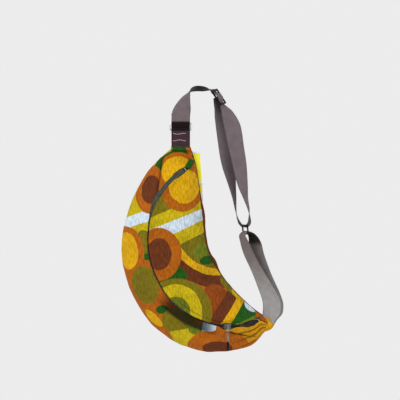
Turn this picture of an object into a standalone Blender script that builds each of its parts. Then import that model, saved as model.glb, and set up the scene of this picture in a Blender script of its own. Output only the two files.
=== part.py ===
"""Waist pack hanging by its strap. +Z up, the front faces -Y, origin on the flat back panel.

Layout lengths are millimetres from the top of the strap; mm() and place() turn them into metres.
"""
import math

import bmesh
import bpy
from mathutils import Matrix, Vector

# ---- driving sizes (mm) ----
GAP = 0.35                    # clearance between touching pieces
CLOTH = 2.4                   # padded panel thickness
LINING = 0.8
LINING_INSET = 13.0           # lining's distance inside the panels' middle surface
FRONT_BULGE = 24.0            # how far the front panel swells out of its edges
SIDE_BULGE = 13.0             # how far the side panel swells past the outline
BINDING_R = 1.9               # piping along the inner edge: radius
BINDING_OUT = 4.2             # and its distance outside the front panel's edge
WEB_W = 38.0                  # webbing
WEB_T = 1.5
BACK_Y = 16.0                 # outer face of the flat back panel
ORIGIN = (-85.0, BACK_Y, -330.0)   # the point of the layout that becomes the world origin
MOUTH_R = 172.0               # radius of the zip's arc
MOUTH_X = 57.0                # centre of the arc
MOUTH_Z = -317.0
MOUTH_Y = -12.0
LEAN = math.radians(26)       # the bag's long direction, off vertical
TILT = math.radians(14)       # the arc's plane leans forward at its middle
ARC_START = math.radians(4)   # lower end of the zip
ARC_END = math.radians(176)   # upper end of the zip
SLIDER_AT = math.radians(28)
ROW_GAP = 0.9                 # centre line to the first metal of a row
TOOTH_W = 2.6
TOOTH_T = 2.4
TEETH = 64
TEETH_SHARE = 0.97            # share of the arc that carries teeth
TAPE_W = 6.0
TAPE_T = 0.6
TAPE_TRIM = 0.012             # radians of arc the tapes stop short of each end
STOP = (2.4, 6.4, 2.4)        # metal stop at each end of the zip
STOP_IN = 0.02                # radians of arc from the arc's end to the stop

RING_WIRE = 1.75              # chrome ring: wire radius
RING_X = -41.0
RING_LOW = -90.0
RING_HIGH = -74.6
RING_HALF = 21.6
TAB_ROOM = 2.4                # slack between the chrome ring and the tab's fold
LOOP_WIRE = 1.35              # black wire ring
LOOP_HALF = 21.4
LOOP_DROP = 8.5               # half its height

# outlines of the bag in x, z, from the upper end to the lower end
INNER = [(-21, -124), (-9, -174), (1, -248), (11, -325), (33, -374), (71, -422), (115, -462), (140, -476)]
OUTER = [(-62, -124), (-110, -168), (-150, -250), (-166, -335), (-146, -420), (-92, -500), (-10, -542),
         (92, -538), (139, -498)]


def mm(*p):
    return Vector(p) * 0.001


def place(p):
    """World position of a layout point."""
    return (Vector(p) - Vector(ORIGIN)) * 0.001


def circle_frame():
    """Centre of the zip's arc, its long direction, its outward direction and its face normal."""
    along = Vector((math.sin(LEAN), 0, -math.cos(LEAN)))
    side = Vector((-math.cos(LEAN), 0, -math.sin(LEAN)))
    front = Vector((0, -1, 0))
    out = side * math.cos(TILT) + front * math.sin(TILT)
    face = front * math.cos(TILT) - side * math.sin(TILT)
    return Vector((MOUTH_X, MOUTH_Y, MOUTH_Z)), along, out, face


def mouth(angle, radius=0.0, lift=0.0):
    """Point on the zip's arc, moved outward by radius and forward by lift."""
    centre, along, out, face = circle_frame()
    arm = along * math.cos(angle) + out * math.sin(angle)
    return centre + arm * (MOUTH_R + radius) + face * lift


def spline(points, t):
    """Smooth curve through points for t in 0..1."""
    pts = [Vector(p) for p in points]
    last = len(pts) - 1
    s = min(max(t, 0.0), 1.0) * last
    i = min(int(s), last - 1)
    f = s - i
    a = pts[i - 1] if i else pts[0] * 2 - pts[1]
    b, c = pts[i], pts[i + 1]
    d = pts[i + 2] if i + 2 <= last else pts[last] * 2 - pts[last - 1]
    return (b * 2 + (c - a) * f + (a * 2 - b * 5 + c * 4 - d) * f * f
            + (b * 3 - a - c * 3 + d) * f * f * f) * 0.5


# ---- scene ----
for old in list(bpy.data.objects):
    bpy.data.objects.remove(old)
PARTS = bpy.data.collections.new("waist_pack")
bpy.context.scene.collection.children.link(PARTS)


def material(name, colour, rough, metal=0.0):
    mat = bpy.data.materials.new(name)
    mat.use_nodes = True
    shader = mat.node_tree.nodes["Principled BSDF"]
    shader.inputs["Base Color"].default_value = (*colour, 1)
    shader.inputs["Roughness"].default_value = rough
    shader.inputs["Metallic"].default_value = metal
    return mat


PRINT = material("printed_cotton", (0.45, 0.25, 0.04), 0.9)
GREEN = material("green_cotton", (0.05, 0.16, 0.04), 0.9)
BROWN = material("brown_cotton", (0.13, 0.05, 0.02), 0.9)
DARK = material("aubergine_webbing", (0.06, 0.02, 0.05), 0.85)
PINK = material("pink_thread", (0.5, 0.3, 0.4), 0.8)
TAUPE = material("taupe_webbing", (0.19, 0.16, 0.16), 0.85)
GREY = material("grey_webbing", (0.36, 0.34, 0.34), 0.85)
INSIDE = material("plain_lining", (0.5, 0.45, 0.35), 0.8)
TAPE = material("zip_tape", (0.11, 0.14, 0.11), 0.85)
STEEL = material("zip_metal", (0.55, 0.55, 0.5), 0.35, 1.0)
CHROME = material("chrome", (0.8, 0.8, 0.8), 0.12, 1.0)
BLACK = material("black_plastic", (0.01, 0.01, 0.01), 0.4)
WIRE = material("black_wire", (0.015, 0.015, 0.015), 0.35, 0.6)
CARD = material("tag_card", (0.85, 0.85, 0.8), 0.7)


def add(name, mesh, mat, parent=None):
    obj = bpy.data.objects.new(name, mesh)
    PARTS.objects.link(obj)
    mesh.materials.clear()
    mesh.materials.append(mat)
    obj.parent = parent
    return obj


def pivot(name, at, parent=None):
    """Empty on a joint's axis; the pieces under it keep their places in the world."""
    obj = bpy.data.objects.new(name, None)
    PARTS.objects.link(obj)
    obj.location = at
    if parent:
        obj.parent = parent
        obj.matrix_parent_inverse = Matrix.Translation(-world_of(parent))
    return obj


def world_of(obj):
    bpy.context.view_layer.update()
    return obj.matrix_world.translation.copy()


def hang(obj, parent):
    obj.parent = parent
    obj.matrix_parent_inverse = Matrix.Translation(-world_of(parent))
    return obj


def to_mesh(name, bm):
    bmesh.ops.recalc_face_normals(bm, faces=bm.faces)
    mesh = bpy.data.meshes.new(name)
    bm.to_mesh(mesh)
    bm.free()
    return mesh


def sheet(name, rows, thick, mat, smooth=True):
    """Open surface through rows of points, thickened evenly to both sides."""
    bm = bmesh.new()
    grid = [[bm.verts.new(place(p)) for p in row] for row in rows]
    for a, b in zip(grid, grid[1:]):
        for j in range(len(a) - 1):
            bm.faces.new((a[j], a[j + 1], b[j + 1], b[j]))
    obj = add(name, to_mesh(name, bm), mat)
    for poly in obj.data.polygons:
        poly.use_smooth = smooth
    solid = obj.modifiers.new("thickness", "SOLIDIFY")
    solid.thickness = thick * 0.001
    solid.offset = 0
    solid.use_even_offset = True
    return obj


def block(name, size, at, mat, turn=None, bevel=0.0):
    """Rectangular block with optional rounded edges, its origin at its centre."""
    bm = bmesh.new()
    bmesh.ops.create_cube(bm, size=1.0, matrix=Matrix.Diagonal((*mm(*size), 1)))
    obj = add(name, to_mesh(name, bm), mat)
    obj.location = place(at)
    if turn:
        obj.rotation_euler = turn.to_euler()
    if bevel:
        edge = obj.modifiers.new("edges", "BEVEL")
        edge.width = bevel * 0.001
        edge.segments = 2
    return obj


def wire_loop(name, points, radius, mat):
    """Closed loop of round wire through the points."""
    curve = bpy.data.curves.new(name, "CURVE")
    curve.dimensions = "3D"
    curve.bevel_depth = radius * 0.001
    curve.bevel_resolution = 2
    line = curve.splines.new("POLY")
    line.points.add(len(points) - 1)
    for k, p in enumerate(points):
        line.points[k].co = (*place(p), 1)
    line.use_cyclic_u = True
    obj = bpy.data.objects.new(name, curve)
    PARTS.objects.link(obj)
    curve.materials.append(mat)
    return obj


def rounded_loop(half_a, half_b, corner, steps=4):
    """Corner-rounded rectangle in two coordinates."""
    out = []
    for quarter in range(4):
        sa = 1 if quarter in (0, 3) else -1
        sb = 1 if quarter < 2 else -1
        for s in range(steps + 1):
            ang = math.pi / 2 * (quarter + s / steps)
            out.append((sa * (half_a - corner) + corner * math.cos(ang),
                        sb * (half_b - corner) + corner * math.sin(ang)))
    return out


# ---- bag surfaces ----
MOUTH_FROM = 0.10             # share of the bag's length where the zip begins
MOUTH_TO = 0.955
SEAM_ROOM = 2.0               # panel edge to the zip tape's edge
UPPER_END = Vector((-41, 0, -124))
LOWER_END = Vector((137, 0, -489))
BACK_ROOM = 3.0               # lining to the back panel
BINDING_SHIFT = Vector((0, 1.5, 0))
BINDING_TO = 0.88              # share of the length where the piping ends


def seam(t, side):
    """Edge of the panel beside the zip: on the arc, then on to the bag's two ends."""
    edge = side * (TAPE_W + ROW_GAP + SEAM_ROOM)
    if t < MOUTH_FROM:
        start = mouth(ARC_END, edge)
        return (UPPER_END - Vector((side * 3, 0, 0))).lerp(start, t / MOUTH_FROM)
    if t > MOUTH_TO:
        start = mouth(ARC_START, edge)
        end = LOWER_END - Vector((side * 2, 0, side * 3))
        return start.lerp(end, (t - MOUTH_TO) / (1 - MOUTH_TO))
    f = (t - MOUTH_FROM) / (MOUTH_TO - MOUTH_FROM)
    return mouth(ARC_END + (ARC_START - ARC_END) * f, edge)


def end_fade(t):
    """0 at the ends of the bag, 1 over its middle."""
    return min(1.0, math.sin(math.pi * min(max(t, 0.0), 1.0)) * 1.6)


def inner_edge(t):
    p = spline(INNER, t)
    return Vector((p.x, BACK_Y - 8 + 2 * (1 - end_fade(t)), p.y))


def front_row(t, count=8):
    """Across the front panel from the inner edge to the zip."""
    a, b = inner_edge(t), seam(t, -1)
    row = []
    for k in range(count + 1):
        f = k / count
        p = a.lerp(b, f)
        bulge = FRONT_BULGE * end_fade(t) * math.sin(math.pi * f) * (1 - 0.35 * f)
        row.append(p + Vector((0, -bulge, 0)))
    return row


def side_row(t, count=7):
    """Across the side panel from the zip, round the outer edge to the back."""
    a = seam(t, 1)
    o = spline(OUTER, t)
    rim = Vector((o.x, 0, o.y))
    inward = (a - rim)
    inward.y = 0
    inward.normalize()
    back = rim + inward * (4 + 6 * end_fade(t)) + Vector((0, BACK_Y - 3.6, 0))
    row = []
    for k in range(count + 1):
        f = k / count
        handle = Vector((rim.x, a.y * 0.45, rim.z)) - inward * SIDE_BULGE * end_fade(t)
        p = a * (1 - f) ** 2 + handle * 2 * f * (1 - f) + back * f * f
        row.append(p)
    return row


def back_row(t):
    a = inner_edge(t)
    b = side_row(t)[-1]
    y = BACK_Y - CLOTH / 2
    inset = (b - a).normalized() * CLOTH / 2
    return [Vector((a.x, y, a.z)) + inset, Vector((b.x, y, b.z))]


def steps(first, last, count):
    return [first + (last - first) * k / count for k in range(count + 1)]


def bag_panels():
    ts = steps(0.0, MOUTH_FROM, 3) + steps(MOUTH_FROM, MOUTH_TO, 26)[1:] + steps(MOUTH_TO, 1.0, 2)[1:]
    sheet("front_panel", [front_row(t) for t in ts], CLOTH, PRINT)
    sheet("side_panel", [side_row(t) for t in ts], CLOTH, PRINT)
    sheet("back_panel", [back_row(t) for t in ts], CLOTH, PRINT, smooth=False)


def lining():
    """Inner pouch: front, inner edge, back and outer side in one sheet, open along the zip."""
    rows = []
    for t in steps(0.18, 0.92, 24):
        front = front_row(t)[::-1]
        side = side_row(t)
        ring = [Vector(p) for p in front[1:]] + [Vector(p) for p in side[:0:-1]]
        mid = sum(ring, Vector()) / len(ring)
        row = []
        for p in ring:
            pull = (mid - p)
            pull.normalize()
            q = p + pull * LINING_INSET
            q.y = min(q.y, BACK_Y - CLOTH - BACK_ROOM)
            row.append(q)
        rows.append(row)
    sheet("lining", rows, LINING, INSIDE)


def binding():
    """Piping along the inner edge between the front and back panels."""
    curve = bpy.data.curves.new("edge_binding", "CURVE")
    curve.dimensions = "3D"
    curve.bevel_depth = BINDING_R * 0.001
    curve.bevel_resolution = 1
    curve.use_fill_caps = True
    line = curve.splines.new("POLY")
    ts = steps(0.02, BINDING_TO, 26)
    line.points.add(len(ts) - 1)
    for k, t in enumerate(ts):
        p = inner_edge(t)
        inward = seam(t, -1) - p
        inward.y = 0
        inward.normalize()
        p = p - inward * BINDING_OUT + BINDING_SHIFT
        line.points[k].co = (*place(p), 1)
    obj = bpy.data.objects.new("edge_binding", curve)
    PARTS.objects.link(obj)
    curve.materials.append(BROWN)


# ---- zip ----
def tape(name, side):
    near = side * (ROW_GAP + TOOTH_W + GAP)
    far = side * (ROW_GAP + TAPE_W)
    rows = []
    for ang in steps(ARC_START + TAPE_TRIM, ARC_END - TAPE_TRIM, 60):
        rows.append([mouth(ang, near), mouth(ang, far)])
    sheet(name, rows, TAPE_T, TAPE, smooth=False)


def teeth(name, side, shift):
    """Row of metal teeth on one cord, as a comb bent round the arc."""
    bm = bmesh.new()
    span = ARC_END - ARC_START
    step = span * TEETH_SHARE / (2 * TEETH)
    first = ARC_START + span * (1 - TEETH_SHARE) / 2
    cord = []
    tips = []
    for k in range(2 * TEETH + 1):
        ang = first + step * k
        cord.append((bm.verts.new(place(mouth(ang, side * (ROW_GAP + TOOTH_W)))),
                     bm.verts.new(place(mouth(ang, side * (ROW_GAP + TOOTH_W * 0.6))))))
        tips.append(bm.verts.new(place(mouth(ang, side * ROW_GAP))))
    for k in range(2 * TEETH):
        (a, b), (c, d) = cord[k], cord[k + 1]
        bm.faces.new((a, b, d, c))
        if k % 2 == shift:
            bm.faces.new((b, tips[k], tips[k + 1], d))
    for v in [v for v in bm.verts if not v.link_faces]:
        bm.verts.remove(v)
    obj = add(name, to_mesh(name, bm), STEEL)
    solid = obj.modifiers.new("thickness", "SOLIDIFY")
    solid.thickness = TOOTH_T * 0.001
    solid.offset = 0


def frame_at(angle):
    """Rotation whose X runs along the zip, Y across it outward and Z out of its face."""
    centre, along, out, face = circle_frame()
    arm = along * math.cos(angle) + out * math.sin(angle)
    run = along * -math.sin(angle) + out * math.cos(angle)
    return Matrix((run, face.cross(run), face)).transposed()


def zip_parts():
    tape("zip_tape_inner", -1)
    tape("zip_tape_outer", 1)
    teeth("zip_teeth_inner", -1, 0)
    teeth("zip_teeth_outer", 1, 1)
    block("zip_stop_end", STOP, mouth(ARC_START + STOP_IN), STEEL, frame_at(ARC_START), 0.4)
    block("zip_stop_top", STOP, mouth(ARC_END - STOP_IN), STEEL, frame_at(ARC_END), 0.4)
    block("zip_end_tab", (15, 17, 1.4), mouth(ARC_END + STOP_IN, 0, 6.2), GREEN, frame_at(ARC_END), 0.4)


SLIDE_L, SLIDE_W = 15.0, 11.0
PLATE = 1.3
LINK_HALF = (2.3, 5.2)         # wire link: half width and half height
LINK_WIRE = 0.75
BAR = (5.4, 1.8)              # the pull's width and thickness
BAR_UP, BAR_DOWN = 3.4, -22.0  # the bar's ends above and below its hinge
TIP_L = 19.0
EYE_R = 1.55
ARCH = 4.4                    # height of the crown's bar over the slider
LINK_TOP = 2.0                # link's upper wire over the crown's bar


def link_hinge():
    return mouth(SLIDER_AT, 0, TOOTH_T / 2 + GAP + PLATE + GAP + ARCH)


def bar_hinge():
    return link_hinge() + Vector((0, 0, LINK_TOP - 2 * LINK_HALF[1]))


def slider(slide, link, bar):
    turn = frame_at(SLIDER_AT)
    deck = TOOTH_T / 2 + GAP + PLATE / 2
    lower = block("slider_body", (SLIDE_L, SLIDE_W, PLATE), mouth(SLIDER_AT, 0, deck), STEEL, turn)
    tools = bpy.data.collections.new("tools")
    bpy.context.scene.collection.children.link(tools)
    # the post between the plates, and the lower plate
    for name, size, lift in (("post", (3.0, ROW_GAP * 2 - 2 * GAP, 6.0), 0.0),
                             ("keel", (SLIDE_L - 1, SLIDE_W - 1.5, PLATE), -deck)):
        extra = block("cut_" + name, size, mouth(SLIDER_AT, 0, lift), STEEL, turn)
        PARTS.objects.unlink(extra)
        tools.objects.link(extra)
        extra.hide_render = True
        extra.display_type = "WIRE"
        join = lower.modifiers.new(name, "BOOLEAN")
        join.operation = "UNION"
        join.object = extra
    hang(lower, slide)
    # crown: an arch along the zip
    top = deck + PLATE / 2 + GAP
    rows = []
    for x, z in ((-6.2, 0.2), (-6.2, 2.2), (-4.6, 3.9), (0, ARCH), (4.6, 3.9), (6.2, 2.2), (6.2, 0.2)):
        base = mouth(SLIDER_AT, 0, top + z) + turn @ Vector((x, 0, 0))
        rows.append([base + turn @ Vector((0, s * 0.8, 0)) for s in (-1, 1)])
    hang(sheet("slider_crown", rows, 1.2, STEEL), slide)
    # link: a wire loop hanging from the arch
    hinge = link_hinge()
    ring = []
    for a, b in rounded_loop(LINK_HALF[0], LINK_HALF[1], 1.6):
        ring.append(hinge + Vector((0, a, b - LINK_HALF[1] + LINK_TOP)))
    hang(wire_loop("pull_link", ring, LINK_WIRE, STEEL), link)
    # bar: flat bar with an eye round the lower end of the link
    eye = bar_hinge()
    bar_part("pull_bar", eye, BAR_UP, BAR_DOWN, STEEL, bar, hole=True)
    bar_part("pull_tip", eye + Vector((0, 0, BAR_DOWN - GAP)), 0.0, -TIP_L, BLACK, bar)


def bar_part(name, at, up, down, mat, parent, hole=False):
    """Flat bar hanging in the XZ plane; the eye's hole runs along Y."""
    height = up - down
    obj = block(name, (*BAR, height), at + Vector((0, 0, (up + down) / 2)), mat, None, 0.5)
    if hole:
        drill(obj, "cut_eye", at, EYE_R)
    return hang(obj, parent)


def drill(obj, name, at, radius):
    """Round hole along Y through the object."""
    bm = bmesh.new()
    bmesh.ops.create_cone(bm, segments=16, radius1=radius * 0.001, radius2=radius * 0.001, depth=0.01,
                          cap_ends=True, matrix=Matrix.Rotation(math.pi / 2, 4, "X"))
    cutter = bpy.data.objects.new(name, to_mesh(name, bm))
    bpy.data.collections["tools"].objects.link(cutter)
    cutter.location = place(at)
    cutter.hide_render = True
    cutter.display_type = "WIRE"
    cut = obj.modifiers.new(name, "BOOLEAN")
    cut.operation = "DIFFERENCE"
    cut.object = cutter


# ---- upper end: tab, chrome ring ----
def hairpin(x, z, bar, room, low_front, low_back, up):
    """Section of webbing folded round a bar: y, z from the front leg round to the back leg."""
    r = bar + room + WEB_T / 2
    pts = [(-r, low_front)]
    for k in range(9):
        ang = math.pi - math.pi * k / 8
        pts.append((r * math.cos(ang), z + up * r * math.sin(ang)))
    pts.append((r, low_back))
    return [[Vector((x - WEB_W / 2, y, h)), Vector((x + WEB_W / 2, y, h))] for y, h in pts]


def upper_end(strap, ring):
    rows = hairpin(RING_X, RING_LOW, RING_WIRE, TAB_ROOM, RING_LOW - 24, RING_LOW - 24, 1)
    hang(sheet("ring_tab", rows, WEB_T, DARK), strap)
    r = RING_WIRE + TAB_ROOM + WEB_T + GAP + 0.35
    for k, drop in enumerate((6.5, 20.0)):
        hang(block("tab_stitch_%d" % (k + 1), (WEB_W - 5, 0.6, 1.2),
                   (RING_X, -r, RING_LOW - drop), PINK), strap)
    mid = (RING_LOW + RING_HIGH) / 2
    half = (RING_HIGH - RING_LOW) / 2
    loop = [Vector((RING_X + a, 0, mid + b)) for a, b in rounded_loop(RING_HALF, half, 3.2)]
    hang(wire_loop("strap_ring", loop, RING_WIRE, CHROME), ring)
    block("top_cap", (34, 15, 3.4), (RING_X, 2, -120.4), GREEN, None, 1.2)


# ---- strap ----
def band_rows(stations, per=4):
    """Rows across a twisting band: each station is x, y, z of its centre and the x and z lean of its width."""
    count = (len(stations) - 1) * per
    rows = []
    for k in range(count + 1):
        t = k / count
        c = spline([s[0:3] for s in stations], t)
        w = spline([(s[3], s[5], s[4]) for s in stations], t).normalized()
        rows.append([c - w * WEB_W / 2, c, c + w * WEB_W / 2])
    return rows


def unit(wx, wz, sign=1):
    """Width direction from its x and z parts; the rest of it runs in depth."""
    return wx, wz, sign * math.sqrt(max(0.0, 1 - wx * wx - wz * wz))


FOLD = RING_WIRE + GAP + WEB_T / 2
HOOK = [
    # centre x, y, z and width x, z: up from the ring and over the top
    (-40.2, -2.9, -54, *unit(-1.0, 0.0)),
    (-36.2, -3.2, -36, *unit(-0.80, 0.0)),
    (-29.5, -3.0, -19, *unit(-0.42, 0.0)),
    (-20.5, -1.0, -7.2, *unit(-0.05, -0.12)),
    (-9.0, 0.0, -3.6, *unit(0.0, -0.20)),
    (5.0, 0.0, -4.0, *unit(0.02, -0.18)),
    (16.0, 0.0, -4.6, *unit(0.12, -0.05)),
]
RUN = [
    # from the slide down the front run, round the wire ring and back up to the slide
    (52.7, -5.0, -48, *unit(0.57, 0.10)),
    (62.8, -6.5, -74, *unit(0.89, 0.02)),
    (67.5, -5.6, -95, *unit(0.92, 0.0)),
    (71.7, -4.8, -119, *unit(0.87, 0.0)),
    (79.2, -3.8, -158, *unit(0.79, 0.0)),
    (85.5, -3.4, -199, *unit(0.60, 0.0)),
    (92.0, -2.2, -228, *unit(0.30, 0.0)),
    (98.0, -1.0, -250, *unit(0.14, 0.0)),
    (100.0, 0.0, -268, *unit(-0.05, 0.0)),
    (99.0, 0.0, -280, *unit(-0.15, 0.0)),
    (90.5, 0.0, -287.6, *unit(-0.20, 0.0)),
    (81.5, 0.0, -281.5, *unit(-0.15, 0.0)),
    (75.0, 0.0, -268, *unit(-0.02, 0.0)),
    (71.5, 1.0, -250, *unit(0.10, 0.0)),
    (69.0, 1.8, -228, *unit(0.24, 0.0)),
    (64.0, 2.6, -199, *unit(0.46, 0.0)),
    (57.0, 3.4, -158, *unit(0.78, 0.0)),
    (52.8, 3.8, -112, *unit(0.95, 0.0)),
    (45.5, 4.4, -70, *unit(0.85, 0.0)),
    (38.5, 3.2, -48, *unit(0.55, 0.05)),
    (33.5, 1.5, -34, *unit(0.36, 0.12)),
]
RING2 = Vector((90.5, 0.0, -284.0))           # centre of the wire ring's upper bar


def strap(body):
    tail = []
    for z in (RING_HIGH + 20, RING_HIGH + 10):
        tail.append([Vector((RING_X + s * WEB_W / 2, FOLD, z)) for s in (1, 0, -1)])
    fold = []
    for k in range(9):
        ang = math.pi * k / 8
        fold.append([Vector((RING_X + s * WEB_W / 2, FOLD * math.cos(ang),
                             RING_HIGH - FOLD * math.sin(ang))) for s in (1, 0, -1)])
    rows = tail + fold + band_rows(HOOK) + through_glide() + band_rows(RUN)
    hang(sheet("strap", rows, WEB_T, TAUPE), body)
    hang(block("strap_stitch", (WEB_W - 8, 0.6, 1.2), (RING_X, FOLD + WEB_T / 2 + GAP + 0.3, RING_HIGH + 15),
               BLACK), body)


GLIDE_AT = Vector((36.8, -1.8, -21.0))
GLIDE_W, GLIDE_L, GLIDE_T = 46.0, 36.0, 1.6
RAIL = 3.0
LIFT = GLIDE_T / 2 + GAP + WEB_T / 2


def glide_frame():
    """Across the webbing, down along it, and out of the slide's face."""
    across = Vector((0.25, 0.95, 0.17)).normalized()
    down = Vector((0.54, 0.0, -0.84))
    down = (down - across * down.dot(across)).normalized()
    return across, down, down.cross(across)


def through_glide():
    """Rows of webbing under the end bars and over the centre bar."""
    across, down, out = glide_frame()
    rows = []
    for s, lift in ((-20, -1.25), (-16.5, -1.1), (-11, -1.1), (-5, 1), (0, 1.05), (5, 1), (11, -1.1), (16.5, -1.1),
                    (20, -1.25)):
        c = GLIDE_AT + down * s + out * (lift * LIFT)
        rows.append([c - across * WEB_W / 2, c, c + across * WEB_W / 2])
    return rows


def outline(curve, half_a, half_b, corner, shift=0.0):
    pts = rounded_loop(half_a, half_b, corner)
    line = curve.splines.new("POLY")
    line.points.add(len(pts) - 1)
    for k, (a, b) in enumerate(pts):
        line.points[k].co = (*mm(a, b + shift, 0), 1)
    line.use_cyclic_u = True


def glide(slide):
    """Three-bar slide: a flat frame with two slots, tilted with the webbing."""
    across, down, out = glide_frame()
    curve = bpy.data.curves.new("glide", "CURVE")
    curve.dimensions = "2D"
    curve.fill_mode = "BOTH"
    curve.extrude = GLIDE_T / 2 * 0.001
    outline(curve, GLIDE_W / 2, GLIDE_L / 2, 3.0)
    slot = (GLIDE_L - 3 * RAIL) / 4
    for side in (-1, 1):
        outline(curve, GLIDE_W / 2 - RAIL, slot, 1.0, side * (slot + RAIL / 2))
    obj = bpy.data.objects.new("glide", curve)
    PARTS.objects.link(obj)
    curve.materials.append(BLACK)
    obj.location = place(GLIDE_AT)
    obj.rotation_euler = Matrix((across, down, across.cross(down))).transposed().to_euler()
    return hang(obj, slide)


def wire_ring(body):
    w = Vector((-0.20, 0.98, 0)).normalized()
    down = Vector((0.10, 0, -1)).normalized()
    centre = RING2 + down * LOOP_DROP
    loop = [centre + w * a + down * b for a, b in rounded_loop(LOOP_HALF, LOOP_DROP, 3.0)]
    hang(wire_loop("wire_ring", loop, LOOP_WIRE, WIRE), body)


LOOP = [
    # the lower loop from its sewn end up the front leg, over the wire ring and down the back leg
    (145.0, -3.0, -468, *unit(0.97, 0.0, -1)),
    (146.0, -5.0, -446, *unit(0.98, 0.0, -1)),
    (139.8, -5.6, -425, *unit(0.92, 0.0, -1)),
    (119.7, -4.6, -384, *unit(0.68, 0.0, -1)),
    (98.4, -3.0, -344, *unit(0.43, 0.0, -1)),
    (88.8, -1.4, -318, *unit(0.32, 0.0, -1)),
    (86.2, 0.0, -304, *unit(0.24, 0.0, -1)),
    (92.4, 0.0, -296.8, *unit(0.20, 0.0, -1)),
    (101.5, 0.0, -299.5, *unit(0.24, 0.0, -1)),
    (108.0, 0.4, -309, *unit(0.36, 0.0, -1)),
    (112.5, 1.2, -322, *unit(0.52, 0.0, -1)),
    (118.0, 2.8, -344, *unit(0.62, 0.0, -1)),
    (130.5, 4.6, -384, *unit(0.74, 0.0, -1)),
    (145.5, 5.4, -425, *unit(0.93, 0.0, -1)),
    (151.0, 4.6, -446, *unit(0.97, 0.0, -1)),
    (149.0, 1.4, -468, *unit(0.97, 0.0, -1)),
]


def end_loop(body):
    hang(sheet("end_loop", band_rows(LOOP), WEB_T, GREY), body)


def end_cap():
    turn = Matrix.Rotation(math.radians(14), 3, "Y")
    block("end_cap", (4.5, 15, 19), (145.6, 4, -488.5), PRINT, turn, 1.2)


TAG_AT = Vector((4.0, 22.5, -199.0))        # where the tag's pin holds to the bag
TAG_HOLE = Vector((-7.0, 22.5, -208.0))
TAG_W, TAG_H, TAG_T = 52.0, 99.0, 0.8
HOLE_R = 2.2
HOLE_IN = (9.0, 25.0)          # the hole's distance from the tag's right and lower edges
PIN_WIRE = 0.5
PIN_PAST = 1.2                # how far the pin reaches past its two ends


def tag(body):
    """Paper tag behind the bag with its plastic loop through the edge."""
    turn = Matrix.Rotation(math.radians(-4), 3, "Y")
    centre = TAG_HOLE + turn @ Vector((HOLE_IN[0] - TAG_W / 2, 0, TAG_H / 2 - HOLE_IN[1]))
    card = block("swing_tag", (TAG_W, TAG_T, TAG_H), centre, CARD, turn, 0)
    hang(card, body)
    drill(card, "cut_hole", TAG_HOLE, HOLE_R)
    # thin plastic loop from the bag's edge through the hole
    mid = (TAG_AT + TAG_HOLE) / 2
    reach = (TAG_HOLE - TAG_AT).length / 2 + PIN_PAST
    way = (TAG_HOLE - TAG_AT).normalized()
    loop = [mid + way * a + Vector((0, b, 0)) for a, b in rounded_loop(reach, 1.9, 1.2)]
    hang(wire_loop("tag_pin", loop, PIN_WIRE, CARD), body)


# ---- assemble ----
bag_panels()
lining()
binding()
zip_parts()
end_cap()
swing = pivot("swing_axis", place((RING_X, 0, RING_LOW)))
tip_ring = pivot("ring_axis", place((RING_X, 0, RING_HIGH)), swing)
low_ring = pivot("wire_ring_axis", place(RING2), swing)
glide_way = pivot("glide_way", place(GLIDE_AT), swing)
slide = pivot("zip_axis", place(circle_frame()[0]))
link = pivot("link_axis", place(link_hinge()), slide)
bar = pivot("bar_axis", place(bar_hinge()), link)
tag_way = pivot("tag_axis", place(TAG_AT))
slider(slide, link, bar)
upper_end(swing, tip_ring)
strap(swing)
glide(glide_way)
wire_ring(low_ring)
end_loop(swing)
tag(tag_way)
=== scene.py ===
"""Waist pack hung by its strap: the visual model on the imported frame.

Layout lengths are millimetres measured from the top of the strap: x right, y away from the front, z up.
place() turns a layout point into the frame's metres.
"""
from math import copysign, cos, degrees, dist, exp, hypot, pi, radians, sin, sqrt, tan

import bmesh
import bpy
import numpy as np
from mathutils import Matrix, Vector, noise


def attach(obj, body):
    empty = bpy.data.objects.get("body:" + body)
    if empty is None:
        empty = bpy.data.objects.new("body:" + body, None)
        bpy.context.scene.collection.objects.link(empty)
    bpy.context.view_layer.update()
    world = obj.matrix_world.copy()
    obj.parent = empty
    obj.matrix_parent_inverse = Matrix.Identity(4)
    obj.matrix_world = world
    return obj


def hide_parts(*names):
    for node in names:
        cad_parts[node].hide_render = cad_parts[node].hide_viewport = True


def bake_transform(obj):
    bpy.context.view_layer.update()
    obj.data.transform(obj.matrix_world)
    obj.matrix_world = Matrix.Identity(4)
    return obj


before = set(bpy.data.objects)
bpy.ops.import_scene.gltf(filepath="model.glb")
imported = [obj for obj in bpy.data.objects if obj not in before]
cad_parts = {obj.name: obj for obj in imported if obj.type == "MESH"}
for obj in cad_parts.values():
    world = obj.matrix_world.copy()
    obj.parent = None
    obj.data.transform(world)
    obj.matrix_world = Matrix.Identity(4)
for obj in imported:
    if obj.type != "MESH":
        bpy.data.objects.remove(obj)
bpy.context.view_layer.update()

# ---- driving sizes, the same as the CAD's (mm) ----
GAP = 0.35
WEB_W = 38.0
WEB_T = 1.5
BACK_Y = 16.0
ORIGIN = (-85.0, BACK_Y, -330.0)
MOUTH_R = 172.0
MOUTH_AT = (57.0, -12.0, -317.0)
LEAN = radians(26)
TILT = radians(14)
ARC_START = radians(4)
ARC_END = radians(176)
SLIDER_AT = radians(28)
RING_WIRE = 1.75
RING_X = -41.0
RING_LOW = -90.0
RING_HIGH = -74.6
RING_HALF = 21.6
LOOP_HALF = 21.4
LOOP_DROP = 8.5
MOUTH_FROM = 0.10
MOUTH_TO = 0.955
INNER = [(-21, -124), (-9, -174), (1, -248), (11, -325), (33, -374), (71, -422), (115, -462), (140, -476)]
OUTER = [(-62, -124), (-110, -168), (-150, -250), (-166, -335), (-146, -420), (-92, -500), (-10, -542),
         (92, -538), (139, -498)]

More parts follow.
